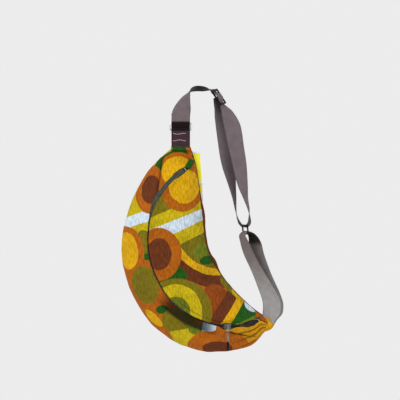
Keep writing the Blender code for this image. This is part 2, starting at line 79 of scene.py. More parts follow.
# ---- sizes of the visual model alone (mm), some of them unlike the CAD's ----
LOOP_WIRE = 1.65              # radius of the black wire ring, thicker than the CAD's
CLOTH = 1.8                   # panel thickness
TOP_T = 0.072                 # station where the seam above the zip meets the inner edge
OPEN_GAP = 1.2                # half the widest gap between the rows below the slider
HEM = 9.5                     # topstitching to the panel's edge
TOOTH_PITCH = 3.0             # least it may be; the rows fill their length evenly
SLIDER_STOPS = (12, 28, 170)  # degrees of the arc: lower stop, rest place and upper stop
PANEL_BULGE = 25              # height of the front panel over its edges
LINING_INSET = 14.0           # from the outer panels to the lining
TUCK_DEPTH = 3.2
CREASE_DEPTH = 2.4
HOLLOW_DEPTH = 8.0            # under the front panel's edge
LAP_HEIGHT = 3.2              # of the side panel over the outer row of the zip


X = Vector((1, 0, 0))
FRONT = Vector((0, -1, 0))


def place(p):
    return (Vector(p) - Vector(ORIGIN)) * 0.001


def arc_axes():
    along = Vector((sin(LEAN), 0, -cos(LEAN)))
    side = Vector((-cos(LEAN), 0, -sin(LEAN)))
    return along, side * cos(TILT) + FRONT * sin(TILT), FRONT * cos(TILT) - side * sin(TILT)


ALONG, OUTWARD, FACE = arc_axes()


def mouth(angle, radius=0.0, lift=0.0):
    """Point on the zip's arc, moved outward by radius and forward by lift."""
    arm = ALONG * cos(angle) + OUTWARD * sin(angle)
    return Vector(MOUTH_AT) + arm * (MOUTH_R + radius) + FACE * lift


def turn_at(angle):
    """Rotation whose X runs along the zip, Y across it inward and Z out of its face."""
    run = OUTWARD * cos(angle) - ALONG * sin(angle)
    return Matrix((run, FACE.cross(run), FACE)).transposed()


def spline(points, t):
    pts = [Vector(p) for p in points]
    last = len(pts) - 1
    s = min(max(t, 0.0), 1.0) * last
    i = min(int(s), last - 1)
    f = s - i
    a = pts[i - 1] if i else pts[0] * 2 - pts[1]
    b, c = pts[i], pts[i + 1]
    d = pts[i + 2] if i + 2 <= last else pts[last] * 2 - pts[last - 1]
    return (b * 2 + (c - a) * f + (a * 2 - b * 5 + c * 4 - d) * f * f
            + (b * 3 - a - c * 3 + d) * f * f * f) * 0.5


def ease(x, low, high):
    f = min(max((x - low) / (high - low), 0.0), 1.0)
    return f * f * (3 - 2 * f)


def window(x, a, b, c, d):
    """Rises from 0 to 1 between a and b and falls back between c and d."""
    return ease(x, a, b) * (1 - ease(x, c, d))


def squared(x, power):
    """x drawn away from 0 by a power below 1, which squares off a circle."""
    return copysign(abs(x) ** power, x)


def around(count):
    """Evenly spaced angles round a full turn."""
    return steps(0, 2 * pi, count)[:-1]


def hump(x, middle, width):
    return exp(-((x - middle) / width) ** 2)


def steps(first, last, count):
    return [first + (last - first) * k / count for k in range(count + 1)]


def soft(p, size, seed=0.0):
    """Smooth noise of a layout point."""
    return noise.noise(Vector((p[0] / size + seed, p[1] / size, p[2] / size)))


# ---- colours (linear) ----
def srgb(r, g, b):
    return tuple(((c / 255 + 0.055) / 1.055) ** 2.4 if c > 10 else c / 255 / 12.92 for c in (r, g, b))


GOLD = srgb(226, 172, 14)
LEMON = srgb(202, 178, 20)
# the print's gold at the lower tip, set darker than GOLD as painted shade
SHADED_GOLD = srgb(208, 148, 20)
RUST = srgb(182, 98, 18)
RUSSET = srgb(150, 72, 20)
BROWN = srgb(108, 54, 26)
OLIVE = srgb(126, 113, 20)
MOSS = srgb(114, 124, 28)
GREEN = srgb(34, 88, 20)
WHITE = srgb(214, 230, 242)


# ---- node helpers ----
class Nodes:
    """Small wrapper that adds shader nodes and joins them."""

    def __init__(self, name):
        self.mat = bpy.data.materials.new(name)
        self.mat.use_nodes = True
        self.tree = self.mat.node_tree
        self.shader = self.tree.nodes["Principled BSDF"]

    def new(self, kind, **props):
        node = self.tree.nodes.new(kind)
        for key, value in props.items():
            setattr(node, key, value)
        return node

    def put(self, socket, value):
        if isinstance(value, bpy.types.NodeSocket):
            self.tree.links.new(value, socket)
        elif isinstance(value, tuple) and len(value) == 3 and socket.type == "RGBA":
            socket.default_value = (*value, 1)
        else:
            socket.default_value = value

    def feed(self, node, **values):
        """Set a node's inputs by name; gives its first output."""
        for key, value in values.items():
            self.put(node.inputs[key], value)
        return node.outputs[0]

    def math(self, op, a, b=0.0):
        node = self.new("ShaderNodeMath", operation=op)
        self.put(node.inputs[0], a)
        self.put(node.inputs[1], b)
        return node.outputs[0]

    def times(self, a, b):
        return self.math("MULTIPLY", a, b)

    def plus(self, a, b):
        return self.math("ADD", a, b)

    def mix(self, fac, a, b, mode="MIX"):
        node = self.new("ShaderNodeMix", data_type="RGBA", blend_type=mode)
        self.put(node.inputs[0], fac)
        self.put(node.inputs[6], a)
        self.put(node.inputs[7], b)
        return node.outputs[2]

    def ramp(self, value, low, high, out_low=0.0, out_high=1.0):
        node = self.new("ShaderNodeMapRange", interpolation_type="SMOOTHSTEP")
        for k, v in enumerate((value, low, high, out_low, out_high)):
            self.put(node.inputs[k], v)
        return node.outputs[0]

    def attribute(self, name):
        return self.new("ShaderNodeAttribute", attribute_name=name).outputs["Vector"]

    def mapping(self, vector, location=(0, 0, 0), turn=0.0, scale=(1, 1, 1)):
        node = self.new("ShaderNodeMapping", vector_type="TEXTURE")
        return self.feed(node, Vector=vector, Location=location, Rotation=(0, 0, turn), Scale=scale)

    def split(self, vector):
        node = self.new("ShaderNodeSeparateXYZ")
        self.put(node.inputs[0], vector)
        return node.outputs

    def join(self, x, y, z):
        node = self.new("ShaderNodeCombineXYZ")
        for socket, value in zip(node.inputs, (x, y, z)):
            self.put(socket, value)
        return node.outputs[0]

    def grey(self, value):
        return self.join(value, value, value)

    def noise(self, vector, scale, detail=2.0, rough=0.5):
        node = self.new("ShaderNodeTexNoise")
        return self.feed(node, Vector=vector, Scale=scale, Detail=detail, Roughness=rough)

    def vmath(self, op, a, b=(0, 0, 0)):
        node = self.new("ShaderNodeVectorMath", operation=op)
        self.put(node.inputs[0], a)
        if op == "SCALE":
            self.put(node.inputs["Scale"], b)
        else:
            self.put(node.inputs[1], b)
        return node.outputs["Value"] if op == "LENGTH" else node.outputs[0]

    def sine(self, value, wavelength):
        return self.math("SINE", self.times(value, 2 * pi / wavelength))

    def finish(self, colour, rough, height=None, strength=0.3, distance=0.0004,
               metal=0.0, sheen=0.0, gloss=0.5):
        s = self.shader
        s.inputs["Specular IOR Level"].default_value = gloss
        self.put(s.inputs["Base Color"], colour)
        self.put(s.inputs["Roughness"], rough)
        s.inputs["Metallic"].default_value = metal
        s.inputs["Sheen Weight"].default_value = sheen
        s.inputs["Sheen Roughness"].default_value = 0.6
        if height is not None:
            bump = self.new("ShaderNodeBump")
            bump.inputs["Strength"].default_value = strength
            bump.inputs["Distance"].default_value = distance
            self.put(bump.inputs["Height"], height)
            self.tree.links.new(bump.outputs[0], s.inputs["Normal"])
        return self.mat


def mottled(n, value, low, high, most, colour, share_left):
    """Colour that turns to a darker one by at most a share where value runs from low to high."""
    return n.mix(n.ramp(value, low, high, 0.0, most), colour, tuple(c * share_left for c in colour))


def object_mm(n):
    """Object coordinates in millimetres of the frame."""
    return n.vmath("SCALE", n.new("ShaderNodeTexCoord").outputs["Object"], 1000.0)


EDGE = 0.45                   # half the soft width of a printed edge


def print_colour(n, flat, base, shapes):
    """Plain discs, stripes and half planes laid over one another on the flat fabric."""
    wobble = n.noise(flat, 0.05, 2.0)
    shift = n.times(n.math("SUBTRACT", wobble, 0.5), 4.0)
    at = n.vmath("ADD", flat, n.join(shift, shift, 0.0))
    colour = base
    for kind, x, z, a, b, turn, paint, clips in shapes:
        if kind == "disc":
            local = n.mapping(at, (x, z, 0), radians(turn), (a, b, 1))
            rim = EDGE / min(a, b)
            mask = n.ramp(n.vmath("LENGTH", local), 1 + rim, 1 - rim)
        else:
            across = n.split(n.mapping(at, (x, z, 0), radians(turn)))[1]
            if kind == "stripe":
                mask = n.ramp(n.math("ABSOLUTE", across), b + EDGE, b - EDGE)
            else:
                mask = n.ramp(across, -EDGE, EDGE)
        for cx, cz, cut in clips:
            beyond = n.split(n.mapping(at, (cx, cz, 0), radians(cut)))[1]
            mask = n.times(mask, n.ramp(beyond, -EDGE, EDGE))
        colour = n.mix(mask, colour, paint)
    return colour


def cotton(name, base, shapes=(), crinkle=1.0):
    """Printed bark cloth: upright wavy crinkles over a fine plain weave, faded a little in patches, with
    painted shade in the crinkles' valleys and, from the flat's z, in hollows, folds and creases.
    """
    n = Nodes(name)
    flat = n.attribute("flat")
    x, z, dark = n.split(flat)
    plane = n.join(x, z, 0.0)
    colour = print_colour(n, plane, base, shapes)
    streak = n.noise(n.mapping(plane, (0, 0, 0), 0.08, (3.0, 11.0, 1)), 1.0, 3.0, 0.55)
    fine = n.noise(n.mapping(plane, (0, 0, 0), -0.1, (1.1, 3.0, 1)), 1.0, 2.0, 0.5)
    weave = n.times(n.sine(x, 0.9), n.sine(z, 0.9))
    patch = n.noise(plane, 0.02, 3.0)
    # painted shade in the crinkles' valleys; the patches fade the colour at random
    shade = n.times(n.ramp(streak, 0.34, 0.62, 1 - 0.3 * crinkle, 1.06), n.ramp(patch, 0.3, 0.7, 0.92, 1.05))
    shade = n.times(shade, n.ramp(fine, 0.25, 0.7, 0.88, 1.06))
    # painted shade: the flat's z darkens hollows, gathers, folds, creases and the stitching groove
    shade = n.times(shade, n.ramp(dark, 0.0, 1.0, 1.0, 0.12))
    colour = n.mix(1.0, colour, n.grey(shade), "MULTIPLY")
    height = n.plus(n.times(streak, 1.6 * crinkle), n.times(fine, 0.5))
    height = n.plus(height, n.times(weave, 0.10))
    rough = n.ramp(streak, 0.3, 0.7, 0.95, 0.82)
    return n.finish(colour, rough, height, 0.85, 0.0014, sheen=0.02, gloss=0.08)


# painted shade: SHADOW stands for the shade inside the webbing's folds, and is also laid on the zip tape and
# teeth
SHADOW = srgb(20, 8, 6)     # the brown-black inside the webbing's folds


def webbing(name, colour, edge, rib=1.9, far=None, far_from=0.0, far_to=1.0, middle=0.0):
    """Ribbed webbing on flat x across and y along in mm; flat z mixes in SHADOW, painted shade in its folds.

    Its colour changes to far between two distances from a middle along it.
    """
    n = Nodes(name)
    flat = n.attribute("flat")
    x, y, dark = n.split(flat)
    plane = n.join(x, y, 0.0)
    drift = n.noise(n.mapping(plane, (0, 0, 0), 0, (9, 30, 1)), 1.0, 2.0)
    ribs = n.sine(n.plus(y, n.times(drift, 1.4)), rib)
    twill = n.sine(n.plus(x, n.times(y, 0.6)), 1.5)
    fuzz = n.noise(plane, 1.1, 3.0, 0.6)
    cloud = n.noise(plane, 0.06, 3.0)
    tone = n.times(n.ramp(ribs, -1, 1, 0.76, 1.10), n.ramp(fuzz, 0.25, 0.75, 0.72, 1.26))
    tone = n.times(tone, n.ramp(cloud, 0.3, 0.7, 0.90, 1.06))
    base = colour
    if far:
        away = n.math("ABSOLUTE", n.math("SUBTRACT", y, middle))
        base = n.mix(n.ramp(away, far_from, far_to), colour, far)
    selvedge = n.ramp(n.math("ABSOLUTE", x), WEB_W / 2 - 2.6, WEB_W / 2 - 0.8, 0.0, 0.6)
    base = n.mix(selvedge, base, edge)
    base = n.mix(1.0, base, n.grey(tone), "MULTIPLY")
    # painted shade: flat z turns the webbing to SHADOW where its folds lie in shade
    base = n.mix(n.ramp(dark, 0.0, 1.0), base, SHADOW)
    height = n.plus(n.times(ribs, 0.5), n.times(twill, 0.25))
    height = n.plus(height, fuzz)
    return n.finish(base, n.ramp(fuzz, 0.2, 0.8, 0.95, 0.78), height, 0.8, 0.0008, sheen=0.04, gloss=0.1)


# painted shade: up to this length along the zip the tape is painted in the hem's shade
SHADED_TO = radians(40) * MOUTH_R         # up to here along the zip the hem keeps the tape dark


def tape_cloth(name, colour):
    """Herringbone zip tape, with painted shade at its edges beside the panels and along its lower stretch
    under the hem.
    """
    n = Nodes(name)
    x, y, _ = n.split(n.attribute("flat"))
    fold = n.math("ABSOLUTE", n.math("SUBTRACT", x, 4.5))
    twill = n.sine(n.plus(y, fold), 1.1)
    fuzz = n.noise(n.join(x, y, 0.0), 1.4, 3.0)
    tint = mottled(n, fuzz, 0.3, 0.7, 0.6, colour, 0.45)
    # painted shade at the tape's edges where it runs under the panels
    tint = n.mix(n.ramp(x, 3.5, 4.4, 0.0, 0.9), tint, SHADOW)
    # painted shade along the lower stretch under the hem
    tint = n.mix(n.ramp(y, SHADED_TO, SHADED_TO - 20, 0.0, 0.85), tint, SHADOW)
    return n.finish(tint, 0.9, n.plus(n.times(twill, 0.5), fuzz), 0.5, 0.0003, sheen=0.1)


def metal(name, colour, rough, wear=0.3, shaded_below=None):
    """Plated metal with fine scratches and duller clouds, with painted shade below a height of the frame in
    mm.
    """
    n = Nodes(name)
    at = object_mm(n)
    cloud = n.noise(at, 0.35, 4.0)
    scratch = n.noise(n.mapping(at, (0, 0, 0), 0.4, (2.0, 0.3, 0.6)), 1.0, 3.0)
    tint = mottled(n, cloud, 0.35, 0.7, wear, colour, 0.35)
    if shaded_below:
        # painted shade: SHADOW below the given height, where the parts lie in the hem's shade
        tint = n.mix(n.ramp(n.split(at)[2], shaded_below, shaded_below - 10, 0.0, 0.75), tint, SHADOW)
    roughness = n.ramp(scratch, 0.3, 0.7, rough, min(1.0, rough * 1.8))
    return n.finish(tint, roughness, n.plus(scratch, cloud), 0.12, 0.0002, metal=1.0)


def plastic(name, colour, rough):
    """Moulded plastic with a fine grain and pale scuffs."""
    n = Nodes(name)
    at = object_mm(n)
    grain = n.noise(at, 2.2, 3.0)
    scuff = n.noise(at, 0.25, 4.0)
    tint = n.mix(n.ramp(scuff, 0.5, 0.75, 0.0, 0.5), colour, tuple(c * 1.8 + 0.01 for c in colour))
    return n.finish(tint, n.ramp(scuff, 0.3, 0.7, rough, rough + 0.2), grain, 0.2, 0.0002, gloss=0.15)


def thread(name, colour):
    """Twisted sewing thread."""
    n = Nodes(name)
    at = object_mm(n)
    x, _, z = n.split(at)
    ply = n.sine(n.plus(x, z), 0.7)
    fuzz = n.noise(at, 2.5, 2.0)
    tint = mottled(n, fuzz, 0.3, 0.7, 0.35, colour, 0.5)
    return n.finish(tint, 0.85, n.plus(ply, fuzz), 0.4, 0.0002, sheen=0.2)


TAG_W, TAG_H, TAG_T = 54.6, 104.4, 0.8
HOLE_IN = (10.3, 28.6)          # the hole's distance from the tag's right and lower edges


def card(name):
    """White tag with a yellow block and a yellow dot round the hole; x across and y up from its centre."""
    n = Nodes(name)
    x, y, _ = n.split(n.attribute("flat"))
    plane = n.join(x, y, 0.0)
    yellow = srgb(255, 250, 36)
    block = n.times(n.ramp(y, TAG_H / 2 - 3.4, TAG_H / 2 - 3.8), n.ramp(y, -9.4, -9.0))
    fibre = n.noise(plane, 0.8, 4.0, 0.6)
    paper = n.mix(n.ramp(fibre, 0.3, 0.7, 0.0, 0.5), srgb(244, 250, 255), srgb(226, 236, 246))
    tint = n.mix(block, paper, yellow)
    spot = n.mapping(plane, (TAG_W / 2 - HOLE_IN[0], HOLE_IN[1] - TAG_H / 2, 0), 0, (12, 12, 1))
    tint = n.mix(n.ramp(n.vmath("LENGTH", spot), 1.04, 0.96), tint, yellow)
    return n.finish(tint, n.ramp(fibre, 0.3, 0.7, 0.55, 0.7), fibre, 0.25, 0.0001)


# ---- mesh helpers ----
def link(obj):
    bpy.context.scene.collection.objects.link(obj)
    return obj


def make(name, points, faces, flats, mat, smooth_below=45):
    """Mesh object through layout points; flats are the same points laid flat in mm, with a painted shade as
    z.
    """
    mesh = bpy.data.meshes.new(name)
    mesh.from_pydata([place(p) for p in points], [], faces)
    flat = mesh.attributes.new("flat", "FLOAT_VECTOR", "POINT")
    flat.data.foreach_set("vector", np.array([(*f, 0.0)[:3] for f in flats], dtype=float).ravel())
    mesh.polygons.foreach_set("use_smooth", [True] * len(faces))
    mesh.materials.append(mat)
    mesh.validate()
    mesh.set_sharp_from_angle(angle=radians(smooth_below))
    return link(bpy.data.objects.new(name, mesh))


def sheet(name, rows, flats, mat, thick=CLOTH):
    """Open surface through rows of points, thickened evenly to both sides."""
    count, width = len(rows), len(rows[0])
    faces = [(i * width + j, i * width + j + 1, (i + 1) * width + j + 1, (i + 1) * width + j)
             for i in range(count - 1) for j in range(width - 1)]
    obj = make(name, [p for row in rows for p in row], faces, [f for row in flats for f in row], mat, 180)
    solid = obj.modifiers.new("thickness", "SOLIDIFY")
    solid.thickness = thick * 0.001
    solid.offset = 0
    return obj


def skin(rings, flats=None, cyclic=False):
    """Points, faces and flats of a closed skin through rings of points, its ends capped unless cyclic."""
    count, width = len(rings), len(rings[0])
    points = [p for ring in rings for p in ring]
    faces = []
    for i in range(count if cyclic else count - 1):
        a, b = i * width, (i + 1) % count * width
        faces += [(a + j, a + (j + 1) % width, b + (j + 1) % width, b + j) for j in range(width)]
    if not cyclic:
        faces.append(tuple(range(width))[::-1])
        faces.append(tuple((count - 1) * width + j for j in range(width)))
    if flats is None:
        flats = [[(p[0], p[2]) for p in ring] for ring in rings]
    return points, faces, [f for flat in flats for f in flat]


def face_out(obj, weld=False):
    """Turn an object's faces outward, first joining points that coincide if it is to be welded."""
    bm = bmesh.new()
    bm.from_mesh(obj.data)
    if weld:
        bmesh.ops.remove_doubles(bm, verts=bm.verts, dist=1e-6)
    bmesh.ops.recalc_face_normals(bm, faces=bm.faces)
    bm.to_mesh(obj.data)
    bm.free()
    return obj


def solid_of(name, skins, mat, smooth_below=45):
    """One object from several closed skins, faces turned outward."""
    points, faces, flats = [], [], []
    for some_points, some_faces, some_flats in skins:
        start = len(points)
        points += some_points
        faces += [tuple(v + start for v in face) for face in some_faces]
        flats += some_flats
    return face_out(make(name, points, faces, flats, mat, smooth_below))


def tangents(path, cyclic=False):
    count = len(path)
    out = []
    for k in range(count):
        ahead = path[(k + 1) % count] if cyclic else path[min(k + 1, count - 1)]
        behind = path[k - 1] if cyclic or k else path[0]
        out.append((ahead - behind).normalized())
    return out


def sweep(path, up, size, cyclic=False, square=1.0, sides=14):
    """Skin of a round or squarish bar along a path: size(k) gives its half width across and along up."""
    rings, flats = [], []
    run = 0.0
    for k, (p, way) in enumerate(zip(path, tangents(path, cyclic))):
        run += (p - path[k - 1]).length if k else 0.0
        across = way.cross(up).normalized()
        rise = across.cross(way).normalized()
        a, b = size(k)
        ring = []
        for s in range(sides):
            c, d = cos(2 * pi * s / sides), sin(2 * pi * s / sides)
            ring.append(p + across * (a * squared(c, square))
                        + rise * (b * squared(d, square)))
        rings.append(ring)
        flats.append([(a * s, run) for s in range(sides)])
    return skin(rings, flats, cyclic)


def band(rows, thick=WEB_T, dark=None, count=12):
    """Skin of webbing through rows of (centre, width direction), rounded at its selvedges.

    dark(run, side) is the painted shade at a length along it, on side 1 or -1.
    """
    rings, flats = [], []
    run = 0.0
    ways = tangents([row[0] for row in rows])
    for k, (centre, width) in enumerate(rows):
        run += (centre - rows[k - 1][0]).length if k else 0.0
        normal = width.cross(ways[k]).normalized()
        ring, flat = [], []
        for side in (1, -1):
            for s in steps(-1, 1, count)[:: side] if side == 1 else steps(1, -1, count)[1:-1]:
                u = sin(s * pi / 2)
                lift = side * thick / 2 * sqrt(max(0.0, 1 - abs(u) ** 10))
                ring.append(centre + width * (u * WEB_W / 2) + normal * lift)
                flat.append((u * WEB_W / 2, run, dark(run, side) if dark else 0.0))
        rings.append(ring)
        flats.append(flat)
    return skin(rings, flats)


def stitches(path, outward, length=2.7, gap=1.1, radius=0.34):
    """Skins of short raised stitches along a path."""
    skins = []
    run = [0.0]
    for a, b in zip(path, path[1:]):
        run.append(run[-1] + (b - a).length)

    def at(distance):
        k = max(0, min(len(path) - 2, int(np.searchsorted(run, distance)) - 1))
        f = (distance - run[k]) / max(run[k + 1] - run[k], 1e-9)
        return path[k].lerp(path[k + 1], f)

    start = gap / 2
    while start + length < run[-1]:
        line = [at(start + length * f) + outward * (radius * (0.9 * sin(pi * f) - 0.1))
                for f in steps(0, 1, 4)]
        sizes = [radius * (0.45 + 0.55 * sin(pi * f)) for f in steps(0, 1, 4)]
        skins.append(sweep(line, outward, lambda k: (sizes[k], sizes[k] * 0.8), sides=6))
        start += length + gap
    return skins


def rounded_loop(half_a, half_b, corner, count=8):
    """Corner-rounded rectangle in two coordinates."""
    out = []
    for quarter in range(4):
        sa = 1 if quarter in (0, 3) else -1
        sb = 1 if quarter < 2 else -1
        for s in range(count + 1):
            ang = pi / 2 * (quarter + s / count)
            out.append((sa * (half_a - corner) + corner * cos(ang),
                        sb * (half_b - corner) + corner * sin(ang)))
    return out


def circle(radius, x=0.0, y=0.0, count=24):
    return [(x + radius * cos(2 * pi * k / count), y + radius * sin(2 * pi * k / count))
            for k in range(count)]


def plate(name, loops, thick, bevel, at, across, down, mat):
    """Flat plate from an outline and its holes, its edges rounded, standing at a layout point."""
    curve = bpy.data.curves.new(name, "CURVE")
    curve.dimensions = "2D"
    curve.fill_mode = "BOTH"
    curve.extrude = thick / 2 - bevel
    curve.bevel_depth = bevel
    curve.bevel_resolution = 2
    curve.offset = -bevel
    for loop in loops:
        line = curve.splines.new("POLY")
        line.points.add(len(loop) - 1)
        for point, (a, b) in zip(line.points, loop):
            point.co = (a, b, 0, 1)
        line.use_cyclic_u = True
    temp = link(bpy.data.objects.new(name, curve))
    bpy.context.view_layer.update()
    graph = bpy.context.evaluated_depsgraph_get()
    mesh = bpy.data.meshes.new_from_object(temp.evaluated_get(graph))
    local = [v.co.copy() for v in mesh.vertices]
    faces = [tuple(poly.vertices) for poly in mesh.polygons]
    bpy.data.objects.remove(temp)
    normal = across.cross(down)
    points = [Vector(at) + across * p.x + down * p.y + normal * p.z for p in local]
    return face_out(make(name, points, faces, [(p.x, p.y) for p in local], mat, 50), weld=True)


def on(obj, body, slot, *nodes):
    """Let a finished piece move with a body and stand for its CAD nodes; slot is not used."""
    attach(obj, body)
    if nodes:
        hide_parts(*nodes)
    return obj


def piece(name, skins, mat, body, slot, *nodes, smooth_below=45):
    """Closed skins as one finished piece that moves with a body and stands for its CAD nodes."""
    return on(solid_of(name, skins, mat, smooth_below), body, slot, *nodes)


def wire(loop, up, radius, sides=14):
    """Skin of a closed loop of round wire."""
    return sweep(loop, up, lambda k: (radius, radius), cyclic=True, sides=sides)


# ---- bag surfaces ----
def end_fade(t):
    return min(1.0, sin(pi * min(max(t, 0.0), 1.0)) * 1.6)


def inner_edge(t):
    p = spline(INNER, t)
    return Vector((p.x, BACK_Y - 8 + 2 * (1 - end_fade(t)), p.y))


def seam(t, offset, lift=0.0):
    """Edge of a panel beside the zip, and on to the bag's two ends."""
    if t < TOP_T:
        return inner_edge(t)
    if t < MOUTH_FROM:
        return inner_edge(TOP_T).lerp(mouth(ARC_END, offset, lift), (t - TOP_T) / (MOUTH_FROM - TOP_T))
    if t > MOUTH_TO:
        end = Vector((142 - 0.2 * offset, 0, -488 - 0.3 * offset))
        return mouth(ARC_START, offset, lift).lerp(end, (t - MOUTH_TO) / (1 - MOUTH_TO))
    return mouth(zip_angle(t), offset, lift)


def zip_angle(t):
    f = (t - MOUTH_FROM) / (MOUTH_TO - MOUTH_FROM)
    return ARC_END + (ARC_START - ARC_END) * f


def share(angle):
    """The station where the zip passes an angle."""
    return MOUTH_FROM + (MOUTH_TO - MOUTH_FROM) * (ARC_END - angle) / (ARC_END - ARC_START)


BARE_UNTIL = share(radians(138))     # above this station the tape shows between the panels
SLIDER_T = share(SLIDER_AT)


def tape_show(t):
    return 1 - ease(t, BARE_UNTIL - 0.03, BARE_UNTIL + 0.04)


def parting(angle):
    """Half the extra gap between the rows in the open stretch below the slider."""
    f = (angle - ARC_START) / (SLIDER_AT - ARC_START)
    return OPEN_GAP * sin(pi * f) ** 0.8 * (1 - room(angle)) if 0 < f < 1 else 0.0


def hollow(t):
    """1 where the side panel sinks away under the front panel's edge."""
    return window(t, 0.55, 0.64, SLIDER_T - 0.09, SLIDER_T - 0.01)


def room(angle):
    """1 at the slider's rest place and its two stops, where the panels stand clear of it.

    Anywhere else the cloth laps over the rows, and the slider passes through it.
    """
    near = [1.5 * hump(degrees(angle), stop, 4.0) for stop in SLIDER_STOPS]
    return min(1.0, sum(near))


def slack(t):
    """How far the outer panel laps over the rows in the middle of the zip, in mm."""
    return 3.6 * window(t, 0.26, 0.38, 0.52, 0.64)


def front_point(t, f):
    """Front panel: f = 0 at the inner edge, 1 at the zip."""
    a = inner_edge(t)
    show, angle = tape_show(t), zip_angle(t)
    hidden = (1 - show) * end_fade(t) * (1 - room(angle))
    clear = room(angle) * (4.7 - 2.7 * show)
    offset = -2.2 - 2.4 * show - 1.1 * hollow(t) - clear - parting(angle) - slack(t)
    b = seam(t, offset, 1.1 + 1.5 * hidden)
    p = a.lerp(b, f)
    reach = (b - a).length
    bulge = PANEL_BULGE * end_fade(t) * min(1.0, reach / 60) * sin(pi * f) * (1 - 0.35 * f)
    near_in = exp(-f * 9)
    near_zip = exp(-(1 - f) * 10)
    pucker = sin(t * 190 + 5 * soft(p, 30)) * (0.55 * near_in + 0.25 * near_zip)
    folds = 2.4 * soft(p, 42, 3.1) + 1.0 * soft(p, 17, 7.7)
    drag = 2.0 * hump(t, 0.22, 0.08) * sin(f * 9 + t * 40)
    rolled = 0.9 * hump((1 - f) * reach, 2.6, 2.2)
    stitched = -1.2 * hump((1 - f) * reach, HEM, 0.9)
    middle = sin(pi * f) ** 0.5 * min(1.0, reach / 40)
    return p + FRONT * (bulge + pucker * min(1.0, reach / 40) + (folds + drag) * middle + rolled + stitched)


def side_point(t, f):
    """Side panel: f = 0 at the zip or the inner edge, round the outer edge to the back at 1."""
    show, angle = tape_show(t), zip_angle(t)
    hidden = (1 - show) * end_fade(t) * (1 - room(angle))
    clear = room(angle) * (4.8 - 3.0 * show)
    offset = 1.2 + 3.4 * show + clear + parting(angle) - slack(t) - 1.4 * hollow(t)
    a = seam(t, offset, 1.0 + 1.3 * hidden)
    o = spline(OUTER, t)
    rim = Vector((o.x, 0, o.y))
    inward = a - rim
    inward.y = 0
    inward.normalize()
    fade = end_fade(t)
    back = rim + inward * (4 + 6 * fade) + Vector((0, BACK_Y - 1.6, 0))
    handle = Vector((rim.x, a.y * 0.45, rim.z)) - inward * 13 * fade
    # over the top end the panel arches from one edge of the bag to the other
    arch = 1 - ease(t, 0.03, 0.15)
    over = a.lerp(rim, 0.45)
    over.y = -23
    handle = handle.lerp(over, 0.75 * arch)
    p = a * (1 - f) ** 2 + handle * 2 * f * (1 - f) + back * f * f
    away = (-inward * 0.6 + FRONT * 0.8).normalized()
    return p + away * side_relief(t, f, p)


def side_relief(t, f, p):
    """How far the side panel stands proud at a point, in mm."""
    near_zip = exp(-f * 9)
    near_back = exp(-(1 - f) * 8)
    edges = min(1.0, 4 * f) * min(1.0, 5 * (1 - f))
    out = (2.2 * soft(p, 40, 1.7) + 0.9 * soft(p, 16, 5.2)) * edges
    out += 0.35 * sin(t * 230 + 6 * soft(p, 26)) * (near_back + 0.7 * near_zip)
    # the lap over the outer row of the zip
    lap = (1 - tape_show(t)) * end_fade(t) * (1 - room(zip_angle(t)))
    out += LAP_HEIGHT * lap * window(f, 0.0, 0.05, 0.08, 0.24)
    # hollow under the front panel's edge
    out -= HOLLOW_DEPTH * hollow(t) * hump(f, 0.16, 0.09)
    out -= 3.4 * gather(t, f)
    # slack creases below the slider
    out += 1.2 * hump(t, 0.80, 0.10) * sin(14 * f + 30 * t) * edges
    return out


def gather(t, f):
    """Depth, 0 to 1, of the gathers fanning out from the lower end."""
    wave = 0.5 + 0.5 * sin(40 * f + 9 * t + 1.6 * sin(9 * f))
    spread = ease(t, 0.82 + 0.05 * sin(31 * f), 0.92) * (1 - 0.4 * ease(t, 0.96, 1.0))
    return wave ** 2 * spread * window(f, 0.02, 0.10, 0.72, 0.92)


def lay_flat(rows, dark):
    """Flat x and z of a panel: those of a row's first point, then the length along the row outward; dark
    gives each point's painted shade as z.
    """
    flats = []
    for i, row in enumerate(rows):
        start = row[0]
        away = row[len(row) // 2] - start
        away.y = 0
        away.normalize()
        run = 0.0
        flat = []
        for k, p in enumerate(row):
            run += (p - row[k - 1]).length if k else 0.0
            x, z = start.x + away.x * run, start.z + away.z * run
            flat.append((x, z, dark(i / (len(rows) - 1), k / (len(row) - 1), x, z)))
        flats.append(flat)
    return flats


def disc(x, z, a, b, paint, turn=0, *clips):
    """Ellipse with half widths a and b. Each clip is a line (x, z, turn) that cuts a shape off."""
    return "disc", x, z, a, b, turn, paint, clips


def half(x, z, paint, turn, *clips):
    return "half", x, z, 0, 0, turn, paint, clips


def stripe(x, z, half_width, paint, turn, *clips):
    return "stripe", x, z, 0, half_width, turn, paint, clips


